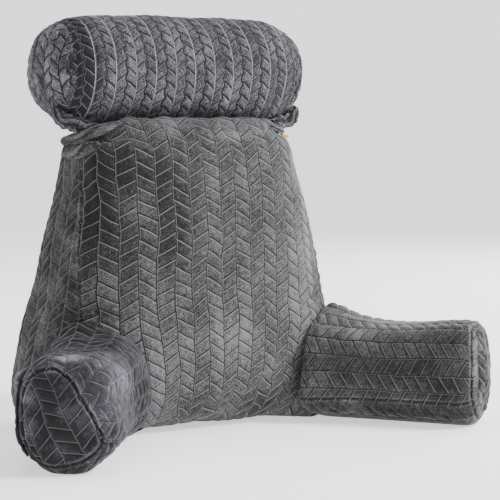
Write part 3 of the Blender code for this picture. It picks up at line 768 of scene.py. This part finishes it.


# %% [markdown]
# ### The arm's cover
# The seam between tube and end panel doesn't follow the edge: on the left arm it cuts across the end, because
# the tube is pulled over it. Two short tables say where it lies, and where the pile is brushed dark or pale,
# with painted highlights and painted shade among those patches.

# %% Where an arm's seam and patches lie
# Metres of cloth between the middle of the end and the tube
END_REACH = 0.10
END_SEAMS = {
    # angle round the end in degrees, and how far in the seam lies: 0 at the tube, -1 at the middle of the end
    -1.0: ((0, -0.35), (20, -0.28), (42, -0.20), (60, -0.22), (81, -0.23), (98, -0.18), (122, -0.23),
           (152, -0.28), (174, -0.31), (184, -0.48), (200, -0.58), (219, -0.65), (242, -0.63), (262, -0.58),
           (272, -0.46), (281, -0.36), (303, -0.30), (326, -0.34), (354, -0.37), (360, -0.35)),
    1.0: ((0, -0.30), (90, -0.24), (180, -0.18), (200, -0.18), (226, -0.25), (255, -0.30), (290, -0.28),
          (360, -0.30)),
}
# Most of these are painted light: highlights on the left end's top edge and on the right arm's root and top,
# and painted shade along the left arm's top by the backrest and on the arms' inner sides
ARM_LIGHT_AND_PILE_PATCHES = (
    # side, share of the girth, run from the end, half widths of both, tone
    (-1.0, 0.48, 0.170, 0.090, 0.090, -1.45),
    (-1.0, 0.46, 0.060, 0.050, 0.060, -0.20),
    (-1.0, 0.51, -0.010, 0.055, 0.010, 0.95),
    (-1.0, 0.58, -0.028, 0.040, 0.014, 0.15),
    (-1.0, 0.68, 0.050, 0.080, 0.060, 0.12),
    (-1.0, 0.75, 0.170, 0.090, 0.070, -0.50),
    (-1.0, 0.82, 0.000, 0.060, 0.050, -0.40),
    (-1.0, 0.40, 0.060, 0.060, 0.120, -0.35),
    (-1.0, 0.20, 0.000, 0.160, 0.080, -0.50),
    (-1.0, 0.97, 0.000, 0.070, 0.050, -0.25),
    (1.0, 0.62, 0.170, 0.030, 0.030, 0.55),
    (1.0, 0.50, 0.100, 0.080, 0.140, 0.72),
    (1.0, 0.61, 0.110, 0.040, 0.120, 0.25),
    (1.0, 0.88, 0.100, 0.040, 0.150, -0.25),
    (1.0, 0.76, 0.085, 0.055, 0.090, -0.40),
)


def spread_table(table, angle):
    """A closed curve through a table of (degrees, value): straight pieces, averaged over 10 degrees."""
    degrees, value = np.array(table).T
    turn = np.linspace(0.0, 360.0, 721)
    curve = np.interp(turn, degrees, value)
    window = np.hanning(21) / np.hanning(21).sum()
    curve = np.convolve(np.concatenate([curve[-41:-1], curve, curve[1:41]]), window, mode="same")[40:-40]
    return np.interp(np.degrees(angle), turn, curve)


# %% One panel of an arm
# Metres: how deep the end seam draws in and how wide, the roll of cloth beside it, and the filling's lumps
END_SEAM_DEPTH, END_SEAM_WIDTH = 0.0032, 0.0032
SEAM_ROLL, SEAM_ROLL_AWAY, SEAM_ROLL_WIDTH = 0.0010, 0.007, 0.004
ARM_LUMP, ARM_GROOVE = 0.0018, 0.0028


def arm_panel(arm, angle, run_to_root, run, numbers, seam_run, relief, column_width, extra, tone, quilt):
    """A panel of an arm: points at the given angle and run, moved along the surface's normal.

    A run below 0 lies on the end, above 0 on the tube. The seam between both panels is drawn in.
    """
    def surface(turn, reach):
        on_end = arm.end_panel(turn, 1.0 + np.clip(reach, -END_REACH, 0.0) / END_REACH)
        on_tube = arm.tube(turn, np.maximum(reach, 0.0) / run_to_root)
        return np.where((reach < 0.0)[..., None], on_end, on_tube)

    point = surface(angle, run)
    normal = normals_of(surface, angle, np.clip(run, -END_REACH * 0.985, run_to_root * 0.995))
    axis = arm.end - np.maximum(run, 0.03)[..., None] * arm.ahead + np.array([0.0, 0.0, ARM_HEIGHT / 2.0])
    normal = normal * np.where(np.sum(normal * (point - axis), axis=-1) < 0.0, -1.0, 1.0)[..., None]
    from_seam = np.abs(run - seam_run)
    left = run_to_root - run
    quiet = smooth_step(0.0, 0.008, from_seam) * smooth_step(0.0, 0.008, left)
    moved = relief * puff(numbers, column_width, groove=ARM_GROOVE) * quiet + extra * quiet
    moved = moved - END_SEAM_DEPTH * bell(from_seam, END_SEAM_WIDTH)
    moved = moved + SEAM_ROLL * bell(from_seam - SEAM_ROLL_AWAY, SEAM_ROLL_WIDTH)
    lumps = ripples(point[..., 0] + point[..., 1], point[..., 2], 24 + int(arm.side), 10, 0.06, 0.18)
    moved = (moved + ARM_LUMP * lumps) * smooth_step(0.0, 0.004, left)
    moved = moved * smooth_step(0.001, 0.02, point[..., 2])
    point = point + normal * moved[..., None]
    point[..., 2] = np.maximum(point[..., 2], 0.0)
    # The girth's two ends meet under the arm
    point[:, -1] = point[:, 0]
    return point, numbers, tone + seam_line_and_highlight(from_seam), quilt


# %% Looks of the two arms
# For each arm's tube: height of the quilting, its first column, and how crisp its lines are
TUBE_RELIEF = {-1.0: 0.0011, 1.0: 0.0020}
TUBE_FIRST = {-1.0: 0.35, 1.0: 0.66}
TUBE_CRISP = {-1.0: 0.75, 1.0: 1.0}
# The same for the end panels, with the width and lean of their columns and how far their lines wander
END_RELIEF = 0.0018
END_FIRST = {-1.0: 1.10, 1.0: 0.62}
END_CRISP = {-1.0: 0.9, 1.0: 1.0}
END_COLUMN = {-1.0: 0.0300, 1.0: 0.0280}
END_LEAN = {-1.0: -24.0, 1.0: 4.0}
END_WAVER = {-1.0: 0.0020, 1.0: 0.0011}
# A narrow strip runs under each side: shares of the girth at its two seams, and where it begins
STRIP_SEAMS, STRIP_FROM = (0.16, 0.84), 0.34
# Metres: how deep the strip's seam draws in and how wide, and the height of the strip's creases
STRIP_SEAM_DEPTH, STRIP_SEAM_WIDTH, STRIP_CREASE = 0.0030, 0.0030, 0.0011


def arm_cover(name, side, material, tone, end_tone):
    """Both panels of an arm, sewn together on the end, with the root closed on the backrest's seam face."""
    arm = Arm(side)
    fine = np.linspace(0.0, 2.0 * math.pi, 2001)
    out, up = arm.section(fine, 0.0)
    length = np.concatenate([[0.0], np.cumsum(np.hypot(np.diff(out), np.diff(up)))])
    angle = np.interp(np.linspace(0.0, length[-1], 230), length, fine)
    girth = np.interp(angle, fine, length)
    girth_share = girth / length[-1]
    at_end, at_root = arm.tube(angle, np.zeros_like(angle)), arm.tube(angle, np.ones_like(angle))
    root = np.linalg.norm(at_root - at_end, axis=-1)
    seam_run = spread_table(END_SEAMS[side], angle) * END_REACH
    share = np.linspace(0.0, 1.0, 130)[:, None]
    run = seam_run + (root - seam_run) * share
    around, shares = np.broadcast_to(angle, run.shape), np.broadcast_to(girth_share, run.shape)
    u = np.broadcast_to(girth - length[-1] / 4.0, run.shape)
    bend = 0.0012 * ripples(run, u * 0.3, 25, 7, 0.08, 0.20)
    numbers = cloth_numbers(u + bend, run, ARM_COLUMN, LEAF, TUBE_FIRST[side], waver=0.0009)
    left = root - run
    # The strip under each side is sewn on about 30 mm above the floor and full of creases
    low_seam = np.minimum(*(np.abs(shares - seam) for seam in STRIP_SEAMS)) * length[-1]
    in_strip = smooth_step(0.0, 0.012, (np.abs(shares - 0.5) - STRIP_FROM) * length[-1])
    fine_folds = ripples(run, u * 0.25, 21, 11, 0.009, 0.030) * smooth_step(0.35, 0.6, shares) * (side < 0)
    crumple = ripples(run, u, 23, 14, 0.010, 0.035)
    extra = -STRIP_SEAM_DEPTH * bell(low_seam, STRIP_SEAM_WIDTH) + STRIP_CREASE * crumple * in_strip
    extra = extra + 0.0006 * fine_folds + 0.0010 * crumple * bell(left, 0.03)
    relief = TUBE_RELIEF[side] * (1.0 - 0.75 * in_strip)
    # The strip's tone is lowered as painted shade near the floor, lighter on its raised creases and darker in
    # their hollows
    shade = np.full(run.shape, tone) + (0.12 * crumple - 0.12) * in_strip + 0.6 * seam_line_and_highlight(low_seam)
    # Patches of brushed pile and of painted light and shade
    for patch_side, at_share, at_run, wide, long, value in ARM_LIGHT_AND_PILE_PATCHES:
        if patch_side == side:
            from_middle = ((shares - at_share) / wide) ** 2 + ((run - at_run) / long) ** 2
            shade = shade + value * np.exp(-from_middle)
    crisp = (1.0 - 0.75 * in_strip) * TUBE_CRISP[side]
    tube = arm_panel(arm, around, root, run, numbers, seam_run, relief, ARM_COLUMN, extra, shade, crisp)
    closing_part = np.broadcast_to(np.linspace(1.0, 2.0, 6)[:, None], (6, len(angle)))
    closing = arm.tube(np.broadcast_to(angle, closing_part.shape), closing_part)
    closing[0] = tube[0][-1]
    closed = (closing, np.broadcast_to(numbers[-1], closing.shape[:2] + (2,)), tone, 0.0)
    # The end panel's columns are laid out on its flat picture, spread a little towards its edge
    inward = np.linspace(0.0, 1.0, 64)[:, None]
    run = -END_REACH + (seam_run + END_REACH) * inward
    around = np.broadcast_to(angle, run.shape)
    disc = arm.end_panel(around, 1.0 + run / END_REACH) - arm.end
    beyond = 1.0 + 0.2 * (1.0 + run / END_REACH) ** 3
    flat_out, flat_up = -side * (disc @ arm.outward) * beyond, (disc[..., 2] - ARM_HEIGHT / 2.0) * beyond
    lean = math.radians(END_LEAN[side])
    across = flat_out * math.cos(lean) + flat_up * math.sin(lean)
    along = flat_up * math.cos(lean) - flat_out * math.sin(lean)
    numbers = cloth_numbers(across, along, END_COLUMN[side], LEAF, END_FIRST[side], waver=END_WAVER[side])
    shade = end_tone + 0.22 * ripples(across, along, 33, 8, 0.03, 0.07) - 0.12 * bell(across - 0.010, 0.020)
    shade = shade + 0.25 * smooth_step(0.02, 0.06, across) * smooth_step(-0.03, 0.03, along)
    cap = arm_panel(arm, around, root, run, numbers, seam_run, END_RELIEF, END_COLUMN[side], 0.0, shade,
                    END_CRISP[side])
    cap[0][0] = cap[0][0].mean(axis=0)
    piece = make_piece(name, [tube, closed, cap], material)
    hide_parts("arm_left" if side < 0 else "arm_right")
    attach(piece, "root")


# %% Both arms
# The left arm's pile is brushed smooth and its stitching nearly hidden; its pale colour is violet for the
# painted sheen on it
plush_left = quilted_plush("plush_charcoal_left_arm", "#19191b", "#3b3b40", "#7d7b88", ARM_COLUMN,
                           grain=0.5, lip_highlights=0.85, stitch=0.6)
# The right arm's pile stands up, so it looks speckled, and its stitching is crisp
plush_right = quilted_plush("plush_charcoal_right_arm", "#1b1b1c", "#434344", "#757576", ARM_COLUMN,
                            lip_highlights=0.85)
arm_cover("arm_left_cover", -1.0, plush_left, -0.05, -0.30)
arm_cover("arm_right_cover", 1.0, plush_right, -0.10, 0.0)

# %% [markdown]
# ## The neck roll
# The roll is a filled tube of the same plush, a little bluer in the light. Its columns run round it, and
# every second column line is a raised thread. The leaves go on over the rounded ends and close in there.
# It is a profile turned about its axis. The places along the profile are even in length of cloth, not in
# the axis's direction, so the leaves keep their size where the shoulders curve in.

# %% Neck roll
ROLL_RADIUS, ROLL_LENGTH, ROLL_SHOULDER = 0.0905, 0.462, 4.6
ROLL_PRESS, ROLL_END_DOME = 0.0105, 0.010
ROLL_COLUMN, ROLL_LEAF, ROLL_SLANT = 0.0176, 0.0222, 0.62
ROLL_HEIGHT = BACKREST_HEIGHT + GAP + ROLL_RADIUS - ROLL_PRESS


def roll_profile(reach):
    """Radius at a reach from -1 to 1 along the roll: full in the middle, rounded off at both shoulders."""
    return ROLL_RADIUS * (1.0 - np.minimum(np.abs(reach), 1.0) ** ROLL_SHOULDER) ** (1.0 / ROLL_SHOULDER)


def roll_surface(place, angle):
    """Place runs from -1 to 1 along the profile's own length; angle turns about the axis."""
    reach = np.interp(place, roll_places, roll_reaches)
    radius = roll_profile(reach)
    dome = ROLL_END_DOME * np.sign(reach) * (1.0 - radius / ROLL_RADIUS) ** 2
    x = reach * ROLL_LENGTH / 2.0 + dome
    y = ROLL_SETBACK + radius * np.cos(angle)
    z = np.maximum(ROLL_HEIGHT + radius * np.sin(angle), BACKREST_HEIGHT + GAP)
    return np.stack([x, y, z], axis=-1)


fine_reach = np.sin(np.linspace(-math.pi / 2, math.pi / 2, 4001))
fine_length = np.hypot(np.diff(fine_reach * ROLL_LENGTH / 2.0), np.diff(roll_profile(fine_reach)))
fine_length = np.concatenate([[0.0], np.cumsum(fine_length)])
ROLL_RUN = fine_length[-1]
roll_places = 2.0 * fine_length / ROLL_RUN - 1.0
roll_reaches = fine_reach

# %% One panel of the roll
# The end panels' seams lie at 0.872 of the half length
ROLL_SEAM = float(np.interp(0.872, roll_reaches, roll_places))
ROLL_AROUND = 240
# Metres: widths of the grooves and of the raised thread, its height, and the seam's depth and width
ROLL_GROOVE, THREAD_WIDTH, THREAD_HEIGHT = 0.0025, 0.0012, 0.0024
ROLL_SEAM_DEPTH, ROLL_SEAM_WIDTH, ROLL_LUMP = 0.0022, 0.0028, 0.0010


def roll_panel(first, last, rows, numbers_of, relief, ridge, tone):
    """A panel of the roll between two places along its profile, moved along the surface's normal."""
    turn = np.linspace(0.0, 2.0 * math.pi, ROLL_AROUND)
    place, angle = np.meshgrid(np.linspace(first, last, rows), turn, indexing="ij")
    numbers = numbers_of(place, -angle)
    from_seam = np.abs(np.abs(place) - ROLL_SEAM) * ROLL_RUN / 2.0
    quiet = smooth_step(0.0, 0.006, from_seam)
    from_thread = numbers[..., 0] - 1.0 - 2.0 * np.round((numbers[..., 0] - 1.0) / 2.0)
    thread = bell(from_thread * ROLL_COLUMN, THREAD_WIDTH)
    moved = relief * puff(numbers, ROLL_COLUMN, ROLL_LEAF, ROLL_GROOVE, ROLL_SLANT) * quiet
    moved = moved + THREAD_HEIGHT * ridge * thread * quiet
    moved = moved - ROLL_SEAM_DEPTH * bell(from_seam, ROLL_SEAM_WIDTH)
    normal = normals_of(roll_surface, np.clip(place, -0.995, 0.995), angle, 1e-3)
    point = roll_surface(place, angle)
    x, y, z = point[..., 0], point[..., 1], point[..., 2]
    outward = np.stack([0.1 * x, y - ROLL_SETBACK, z - ROLL_HEIGHT], axis=-1)
    normal = normal * np.sign(np.sum(normal * outward))
    lumps = ripples(x, y, 41, 10, 0.06, 0.2) + ripples(x, z, 42, 10, 0.06, 0.2)
    pressed = smooth_step(0.0, 0.012, z - BACKREST_HEIGHT - GAP)
    point = point + normal * ((moved + ROLL_LUMP * lumps) * pressed)[..., None]
    point[..., 2] = np.maximum(point[..., 2], BACKREST_HEIGHT + GAP)
    if abs(first) == 1.0:
        point[0] = point[0].mean(axis=0)
    if abs(last) == 1.0:
        point[-1] = point[-1].mean(axis=0)
    # A dark band runs round the front near the left end, brushed pile deepened by painted shade at the
    # shoulder, and the pile is patchier on the ends
    x, y, z = point[..., 0], point[..., 1], point[..., 2]
    brushed_and_shaded_band = -1.25 * bell(x + 0.190, 0.022) * smooth_step(-0.02, 0.05, ROLL_SETBACK - y)
    shade = tone + brushed_and_shaded_band - 0.15 * smooth_step(0.08, 0.24, x) + 0.4 * seam_line_and_highlight(from_seam)
    shade = shade + (0.15 + 0.15 * (ridge == 0.0)) * ripples(x + y, z, 43, 9, 0.03, 0.10)
    return point, numbers, shade, 1.0


# %% Directions of the roll's columns
def round_the_roll(place, angle):
    """Columns run round the roll. One raised column line lies 176 mm left of the middle, as in the picture.

    A round number of leaves, 26, closes each column.
    """
    first_ridge = np.interp(-0.1756 / (ROLL_LENGTH / 2.0), roll_reaches, roll_places)
    leaf = 2.0 * math.pi * ROLL_RADIUS / 26.0
    return cloth_numbers((place - first_ridge) * ROLL_RUN / 2.0, angle * ROLL_RADIUS, ROLL_COLUMN, leaf, 1.0,
                         braid=0.10)


def across_the_end(place, angle):
    """Columns stand upright on the ends, spread out from the middle of each."""
    distance = (1.0 - np.abs(place)) * ROLL_RUN / 2.0
    return cloth_numbers(distance * np.cos(angle), -distance * np.sin(angle), ROLL_COLUMN, ROLL_LEAF, 0.3,
                         braid=0.12, waver=0.0016)


# %% The roll's cover
# The roll is leaned on most, so its pile is rubbed up: it shows coarse speckle and wide, broken lines
plush_roll = quilted_plush("plush_slate_roll", "#1c1c20", "#4b4b52", "#7a7a82", ROLL_COLUMN, ROLL_LEAF,
                           ROLL_SLANT, ridge=1.0, grain=1.9, lip_highlights=1.5, stitch=1.7)
plush_end = quilted_plush("plush_slate_end", "#1d1d20", "#4a4a4e", "#7c7c81", ROLL_COLUMN, ROLL_LEAF,
                          ROLL_SLANT, grain=1.8, lip_highlights=1.4, stitch=1.7)
tube = roll_panel(-ROLL_SEAM, ROLL_SEAM, 260, round_the_roll, 0.0026, 0.7, -0.10)
left_end = roll_panel(-1.0, -ROLL_SEAM, 54, across_the_end, 0.0038, 0.0, 0.25)
right_end = roll_panel(ROLL_SEAM, 1.0, 54, across_the_end, 0.0042, 0.0, 0.0)
roll = make_piece("neck_roll_cover", [tube, left_end, right_end], [plush_roll, plush_end, plush_end])
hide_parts("neck_roll")
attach(roll, "root")

# %% [markdown]
# ## Straps and their folds
# The roll is tied on with bands of the same cloth, gathered at each top corner of the backrest.
# Each is a soft band carried along a path, with its cloth bunched into fine lengthwise folds. A swept
# outline keeps the band closed however it is bunched, and one function makes the straps and the folds.

# %% Gathered bands
STRAP_WIDTH, STRAP_THICKNESS, STRAP_SETBACK = 0.034, 0.014, -0.012
STRAP_TABLE = (
    # distance from the middle, height above the backrest's top, share of the full width and thickness
    (0.148, 0.0000, 0.45),
    (0.160, -0.0026, 0.65),
    (0.171, -0.0066, 0.80),
    (0.181, -0.0070, 1.00),
    (0.191, -0.0048, 1.05),
    (0.202, -0.0018, 1.05),
    (0.212, 0.0040, 1.00),
    (0.219, 0.0135, 0.90),
    (0.222, 0.0240, 0.60),
)
FOLD_THICKNESS = 0.012
# For each side's folds: fullness beyond the solid, how proud they lie, depth of the fine folds, and tone
FOLD_LOOKS = {-1.0: (1.25, 0.60, 0.22, -0.25), 1.0: (0.95, 0.10, 0.14, 0.05)}
FOLD_TABLE = (
    # side, name, start angle, end angle, drop at start, drop at end, width
    (-1.0, "upper", 100.0, 48.0, 0.035, 0.007, 0.016),
    (-1.0, "lower", 92.0, 62.0, 0.053, 0.036, 0.015),
    (1.0, "upper", 72.0, 45.0, 0.020, 0.008, 0.011),
)


def resample(route, count):
    """A smooth path through the route's points, at even steps: Catmull-Rom cubic pieces."""
    ends = np.concatenate([[2 * route[0] - route[1]], route, [2 * route[-1] - route[-2]]])
    place = np.linspace(0.0, len(route) - 1.0001, count)
    index = place.astype(int)
    t = (place - index)[:, None]
    a, b, c, d = (ends[index + k] for k in range(4))
    square, cube = 2 * a - 5 * b + 4 * c - d, 3 * b - a - 3 * c + d
    return 0.5 * (2 * b + (c - a) * t + square * t ** 2 + cube * t ** 3)


def gathered_band(name, route, widths, thicknesses, facing, node, material, seed, fold_depth, tone, strands):
    """A flattened band swept along a path. Its outline is a rounded diamond, rippled into lengthwise folds.

    Strands is the number of folds in its outline, and both ends close in a rounded tip.
    """
    count, sides = 90, 72
    share = np.linspace(0.0, 1.0, len(route))
    fine = np.linspace(0.0, 1.0, count)
    path = resample(route, count)
    wide = np.interp(fine, share, widths)[:, None]
    deep = np.interp(fine, share, thicknesses)[:, None]
    facing = np.stack([np.interp(fine, share, facing[:, k]) for k in range(3)], axis=-1)
    heading = np.gradient(path, axis=0)
    heading /= np.linalg.norm(heading, axis=1, keepdims=True)
    across = np.cross(facing, heading)
    across /= np.linalg.norm(across, axis=1, keepdims=True)
    thick = np.cross(heading, across)
    angle = np.linspace(0.0, 2.0 * math.pi, sides + 1)[None, :]
    aside = 0.03 * np.sin(angle)
    waves = np.sin(angle * strands + 2.5 * ripples(fine[:, None] * 0.2, aside, seed, 5, 0.05, 0.2))
    folds = 1.0 - fold_depth * (0.5 + 0.5 * waves)
    folds = folds * (1.0 + 0.10 * ripples(fine[:, None] * 0.08, aside, seed + 1, 8, 0.008, 0.03))
    tip = np.sqrt(np.clip(np.minimum(fine, 1.0 - fine) * 14.0, 0.0, 1.0))[:, None]
    a = wide / 2.0 * signed_power(np.cos(angle), 0.75) * folds * tip
    b = deep / 2.0 * signed_power(np.sin(angle), 0.75) * folds * tip
    point = path[:, None, :] + a[..., None] * across[:, None, :] + b[..., None] * thick[:, None, :]
    length = np.linalg.norm(np.diff(path, axis=0), axis=1).sum()
    # Four columns of cloth go round the band
    columns, leaves = angle / (2.0 * math.pi) * 4.0, fine[:, None] * length / LEAF
    cloth = np.stack(np.broadcast_arrays(columns, leaves), axis=-1)
    # Painted shade lies in the folds' hollows and painted highlight on their ridges
    piece = make_piece(name, [(point, cloth, tone - 0.40 * waves, 0.3)], material)
    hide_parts(node)
    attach(piece, "root")


# %% The straps and their folds
for side, word in ((-1.0, "left"), (1.0, "right")):
    across, above, share = np.array(STRAP_TABLE).T
    # The cloth bunches up fuller in the middle of the band, and a little forward of the solid's
    full = 1.0 + 0.7 * np.sin(np.pi * np.linspace(0.05, 1.0, len(share))) ** 0.7
    forward = STRAP_SETBACK - 0.009 * (full - 1.0)
    route = np.stack([side * across, forward, BACKREST_HEIGHT + above + 0.002], axis=1)
    facing = np.cross(np.gradient(route, axis=0), (0.0, 1.0, 0.0))
    gathered_band(f"strap_{word}_cover", route, STRAP_WIDTH * share, STRAP_THICKNESS * share * full, facing,
                  f"strap_{word}", plush_end, 51, 0.34, -0.30 if side < 0 else 0.0, 6.0)

for side, name, start, end, start_drop, end_drop, width in FOLD_TABLE:
    share = np.linspace(0.0, 1.0, 12)
    turned = side * np.radians(start + (end - start) * share)
    height = BACKREST_HEIGHT - (start_drop + (end_drop - start_drop) * share)
    heights = cover_height(np.linspace(0.0, COVER_RUN, 2001))
    run = np.interp(height, heights, np.linspace(0.0, COVER_RUN, 2001))
    point = backrest_surface(turned, run)
    normal = normals_of(backrest_surface, turned, run)
    normal = normal * np.sign(np.sum(normal * (point - [0.0, 0.0, 0.4]), axis=-1))[:, None]
    swell = 0.45 + 0.55 * np.sin(np.pi * np.clip(share * 0.9 + 0.05, 0.0, 1.0)) ** 0.6
    thick = FOLD_THICKNESS * swell
    word = "left" if side < 0 else "right"
    full, proud, depth, tone = FOLD_LOOKS[side]
    route = point + normal * (thick * proud)[:, None]
    gathered_band(f"strap_fold_{word}_{name}_cover", route, full * width * swell, full * thick, normal,
                  f"strap_fold_{word}_{name}", plush_back, 61, depth, tone, 3.0)

# %% [markdown]
# ## The side pocket
# A single layer of the plush with a folded hem is sewn to the left arm's outer side along its ends and foot.
# It stands off a little along its open top, where a hand goes in. It could be one face with a thickness
# modifier, but the hem is thicker than the rest, so it is two grids, an inner and an outer face, joined
# at the rim.

# %% Side pocket
POCKET_FROM, POCKET_TO = 0.01, 0.72
POCKET_LOW_ANGLE, POCKET_HIGH_ANGLE = math.radians(50.0), math.radians(112.0)
POCKET_SHEET, POCKET_SEAT, POCKET_OPEN = 0.0025, 0.0008, 0.012
POCKET_CLEARANCE, POCKET_HEM, POCKET_RELIEF = 0.0035, 0.0012, 0.0014

arm = Arm(-1.0)
rows, columns = 110, 64
around, height_share = np.linspace(0.0, 1.0, rows), np.linspace(0.0, 1.0, columns)
part = np.broadcast_to((POCKET_FROM + (POCKET_TO - POCKET_FROM) * around)[:, None], (rows, columns))
up_share = np.broadcast_to(height_share, (rows, columns))
angle = POCKET_LOW_ANGLE + (POCKET_HIGH_ANGLE - POCKET_LOW_ANGLE) * up_share
seat = arm.tube(angle, part)
normal = normals_of(arm.tube, angle, part, 1e-3)
normal = normal * np.sign(np.sum(normal * arm.outward, axis=-1).mean())
along = np.broadcast_to(around[:, None], (rows, columns))
stand_off = POCKET_SEAT + POCKET_CLEARANCE + POCKET_OPEN * np.sin(np.pi * along) ** 0.8 * up_share ** 1.5
run_along = np.linalg.norm(seat - seat[:1], axis=-1)
run_up = np.linalg.norm(seat - seat[:, :1], axis=-1)
hem = POCKET_HEM * smooth_step(0.86, 0.88, up_share)
cloth = cloth_numbers(run_up, run_along, ARM_COLUMN, LEAF, 0.4)
relief = POCKET_RELIEF * puff(cloth, ARM_COLUMN) * (1.0 - smooth_step(0.82, 0.86, up_share))
relief = relief + 0.0006 * ripples(run_along, run_up * 0.3, 71, 9, 0.012, 0.04)
inner = seat + normal * (stand_off - hem * 0.5)[..., None]
outer = seat + normal * (stand_off + POCKET_SHEET + hem + relief)[..., None]
rim_inner = np.concatenate([inner[:, 0], inner[-1, 1:], inner[-2::-1, -1], inner[0, -2::-1]])
rim_outer = np.concatenate([outer[:, 0], outer[-1, 1:], outer[-2::-1, -1], outer[0, -2::-1]])
rim_cloth = np.concatenate([cloth[:, 0], cloth[-1, 1:], cloth[-2::-1, -1], cloth[0, -2::-1]])
rim = np.stack([rim_inner, (rim_inner + rim_outer) / 2.0, rim_outer], axis=1)
sides = np.stack([rim_cloth, rim_cloth, rim_cloth], axis=1)
# The pocket's tone is lifted, painted light against the shade it stands in beside the arm, and its rim is
# lighter still
faces = [(inner, cloth, 0.1, 1.0), (outer, cloth, 0.1, 1.0), (rim, sides, 0.2, 0.0)]
pocket = make_piece("side_pocket_cloth", faces, plush_left)
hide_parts("side_pocket")
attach(pocket, "root")

# %% [markdown]
# ## The zip pull
# The pull is die-cast brass, polished and a little worn. The solid's shape is right, so it only gets its
# metal: brass keeps its colour in the gloss, and use rubs the tarnish off in places.

# %% Brass
brass = bpy.data.materials.new("brass_die_cast")
brass.use_nodes = True
tree = brass.node_tree
shader = tree.nodes["Principled BSDF"]
place = add_node(tree, "TexCoord", {}, "Object")
# Rub marks lie about a millimetre apart, and the colour goes from tarnished to bare
rubbed = add_node(tree, "TexNoise", {"Vector": place, "Scale": 900.0, "Detail": 4.0})
bare = add_node(tree, "MapRange", [rubbed, 0.35, 0.7, 0.0, 1.0], **EASED)
tint = add_node(tree, "Mix", {0: bare, 6: linear("#b8863c"), 7: linear("#e0b76a")}, **COLOURS)
tree.links.new(tint, shader.inputs["Base Color"])
gloss = add_node(tree, "MapRange", [rubbed, 0.3, 0.8, 0.28, 0.5], **EASED)
tree.links.new(gloss, shader.inputs["Roughness"])
shader.inputs["Metallic"].default_value = 1.0
marks = add_node(tree, "Bump", {"Height": rubbed, "Distance": 0.0001, "Strength": 0.4})
tree.links.new(marks, shader.inputs["Normal"])
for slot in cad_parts["zip_pull"].material_slots:
    slot.material = brass
print("zip pull:", brass.name)

# %% [markdown]
# ## Studio
# The pillow stands on a pale floor that curves up into a pale wall all round, so that no horizon shows
# from any side. A large soft lamp stands high at the viewer's right front, with a weak one at the left to
# open the shadows. One above and one behind at the right draw the pale edges that plush has.

# %% Floor
# Metres: the flat floor's radius, the curve's radius, and how far below the pillow the paper lies
FLAT_RADIUS, CURVE_RADIUS, FLOOR_DROP = 4.2, 2.4, 0.0002
TURNS, RINGS = 97, 61

turn, run = np.meshgrid(np.linspace(0.0, 2.0 * math.pi, TURNS), np.linspace(0.0, 9.0, RINGS), indexing="ij")
climb = np.clip((run - FLAT_RADIUS) / CURVE_RADIUS, 0.0, math.pi / 2)
outwards = np.minimum(run, FLAT_RADIUS + CURVE_RADIUS * np.sin(climb))
height = CURVE_RADIUS * (1.0 - np.cos(climb)) - FLOOR_DROP
bowl = np.stack([outwards * np.sin(turn), -outwards * np.cos(turn), height], axis=-1)
mesh = bpy.data.meshes.new("floor")
mesh.from_pydata(bowl.reshape(-1, 3).tolist(), [], sheet_faces(TURNS, RINGS)[:, ::-1].tolist())
mesh.shade_smooth()
# Matt white paper that glows a little, as a lit backdrop does
paper = bpy.data.materials.new("paper_backdrop")
paper.use_nodes = True
shader = paper.node_tree.nodes["Principled BSDF"]
shader.inputs["Base Color"].default_value = linear("#f4f4f4")
shader.inputs["Roughness"].default_value = 0.9
shader.inputs["Emission Color"].default_value = linear("#ffffff")
shader.inputs["Emission Strength"].default_value = 0.85
mesh.materials.append(paper)
floor = bpy.data.objects.new("floor", mesh)
bpy.context.scene.collection.objects.link(floor)
floor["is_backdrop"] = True

# %% Lamps
LAMP_TARGET = (0.0, -0.1, 0.25)
LAMPS = (
    # name, place, size, watts
    ("key", (2.5, -2.0, 2.9), 1.2, 235.0),
    ("fill", (-2.8, -1.2, 1.8), 2.2, 8.0),
    ("top", (0.4, 0.4, 3.2), 2.5, 60.0),
    ("rim", (3.0, 1.0, 1.5), 1.5, 105.0),
)
for name, place, size, watts in LAMPS:
    light = bpy.data.lights.new(name, "AREA")
    light.energy = watts
    light.size = size
    lamp = bpy.data.objects.new(name, light)
    towards = np.array(LAMP_TARGET) - np.array(place)
    flat = math.hypot(towards[0], towards[1])
    lamp.location = place
    tilt, turned = math.atan2(towards[2], flat), math.atan2(-towards[0], towards[1])
    lamp.rotation_euler = (math.pi / 2 + tilt, 0.0, turned)
    bpy.context.scene.collection.objects.link(lamp)

world = bpy.data.worlds.new("studio")
bpy.context.scene.world = world
world.use_nodes = True
sky = world.node_tree.nodes["Background"]
sky.inputs["Color"].default_value = (1.0, 1.0, 1.0, 1.0)
sky.inputs["Strength"].default_value = 0.3
print("lamps:", ", ".join(lamp[0] for lamp in LAMPS))

# %% [markdown]
# ## The size
# The dressed pillow has to fit the imported solids. The growth of its box over theirs is printed, in
# millimetres.

# %% Sizes
new_box = [list(corner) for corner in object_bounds()]
growth = (np.ptp(new_box, axis=0) - np.ptp(cad_box, axis=0)) * 1000.0
print("growth over the solids, mm:", growth.round(1).tolist())
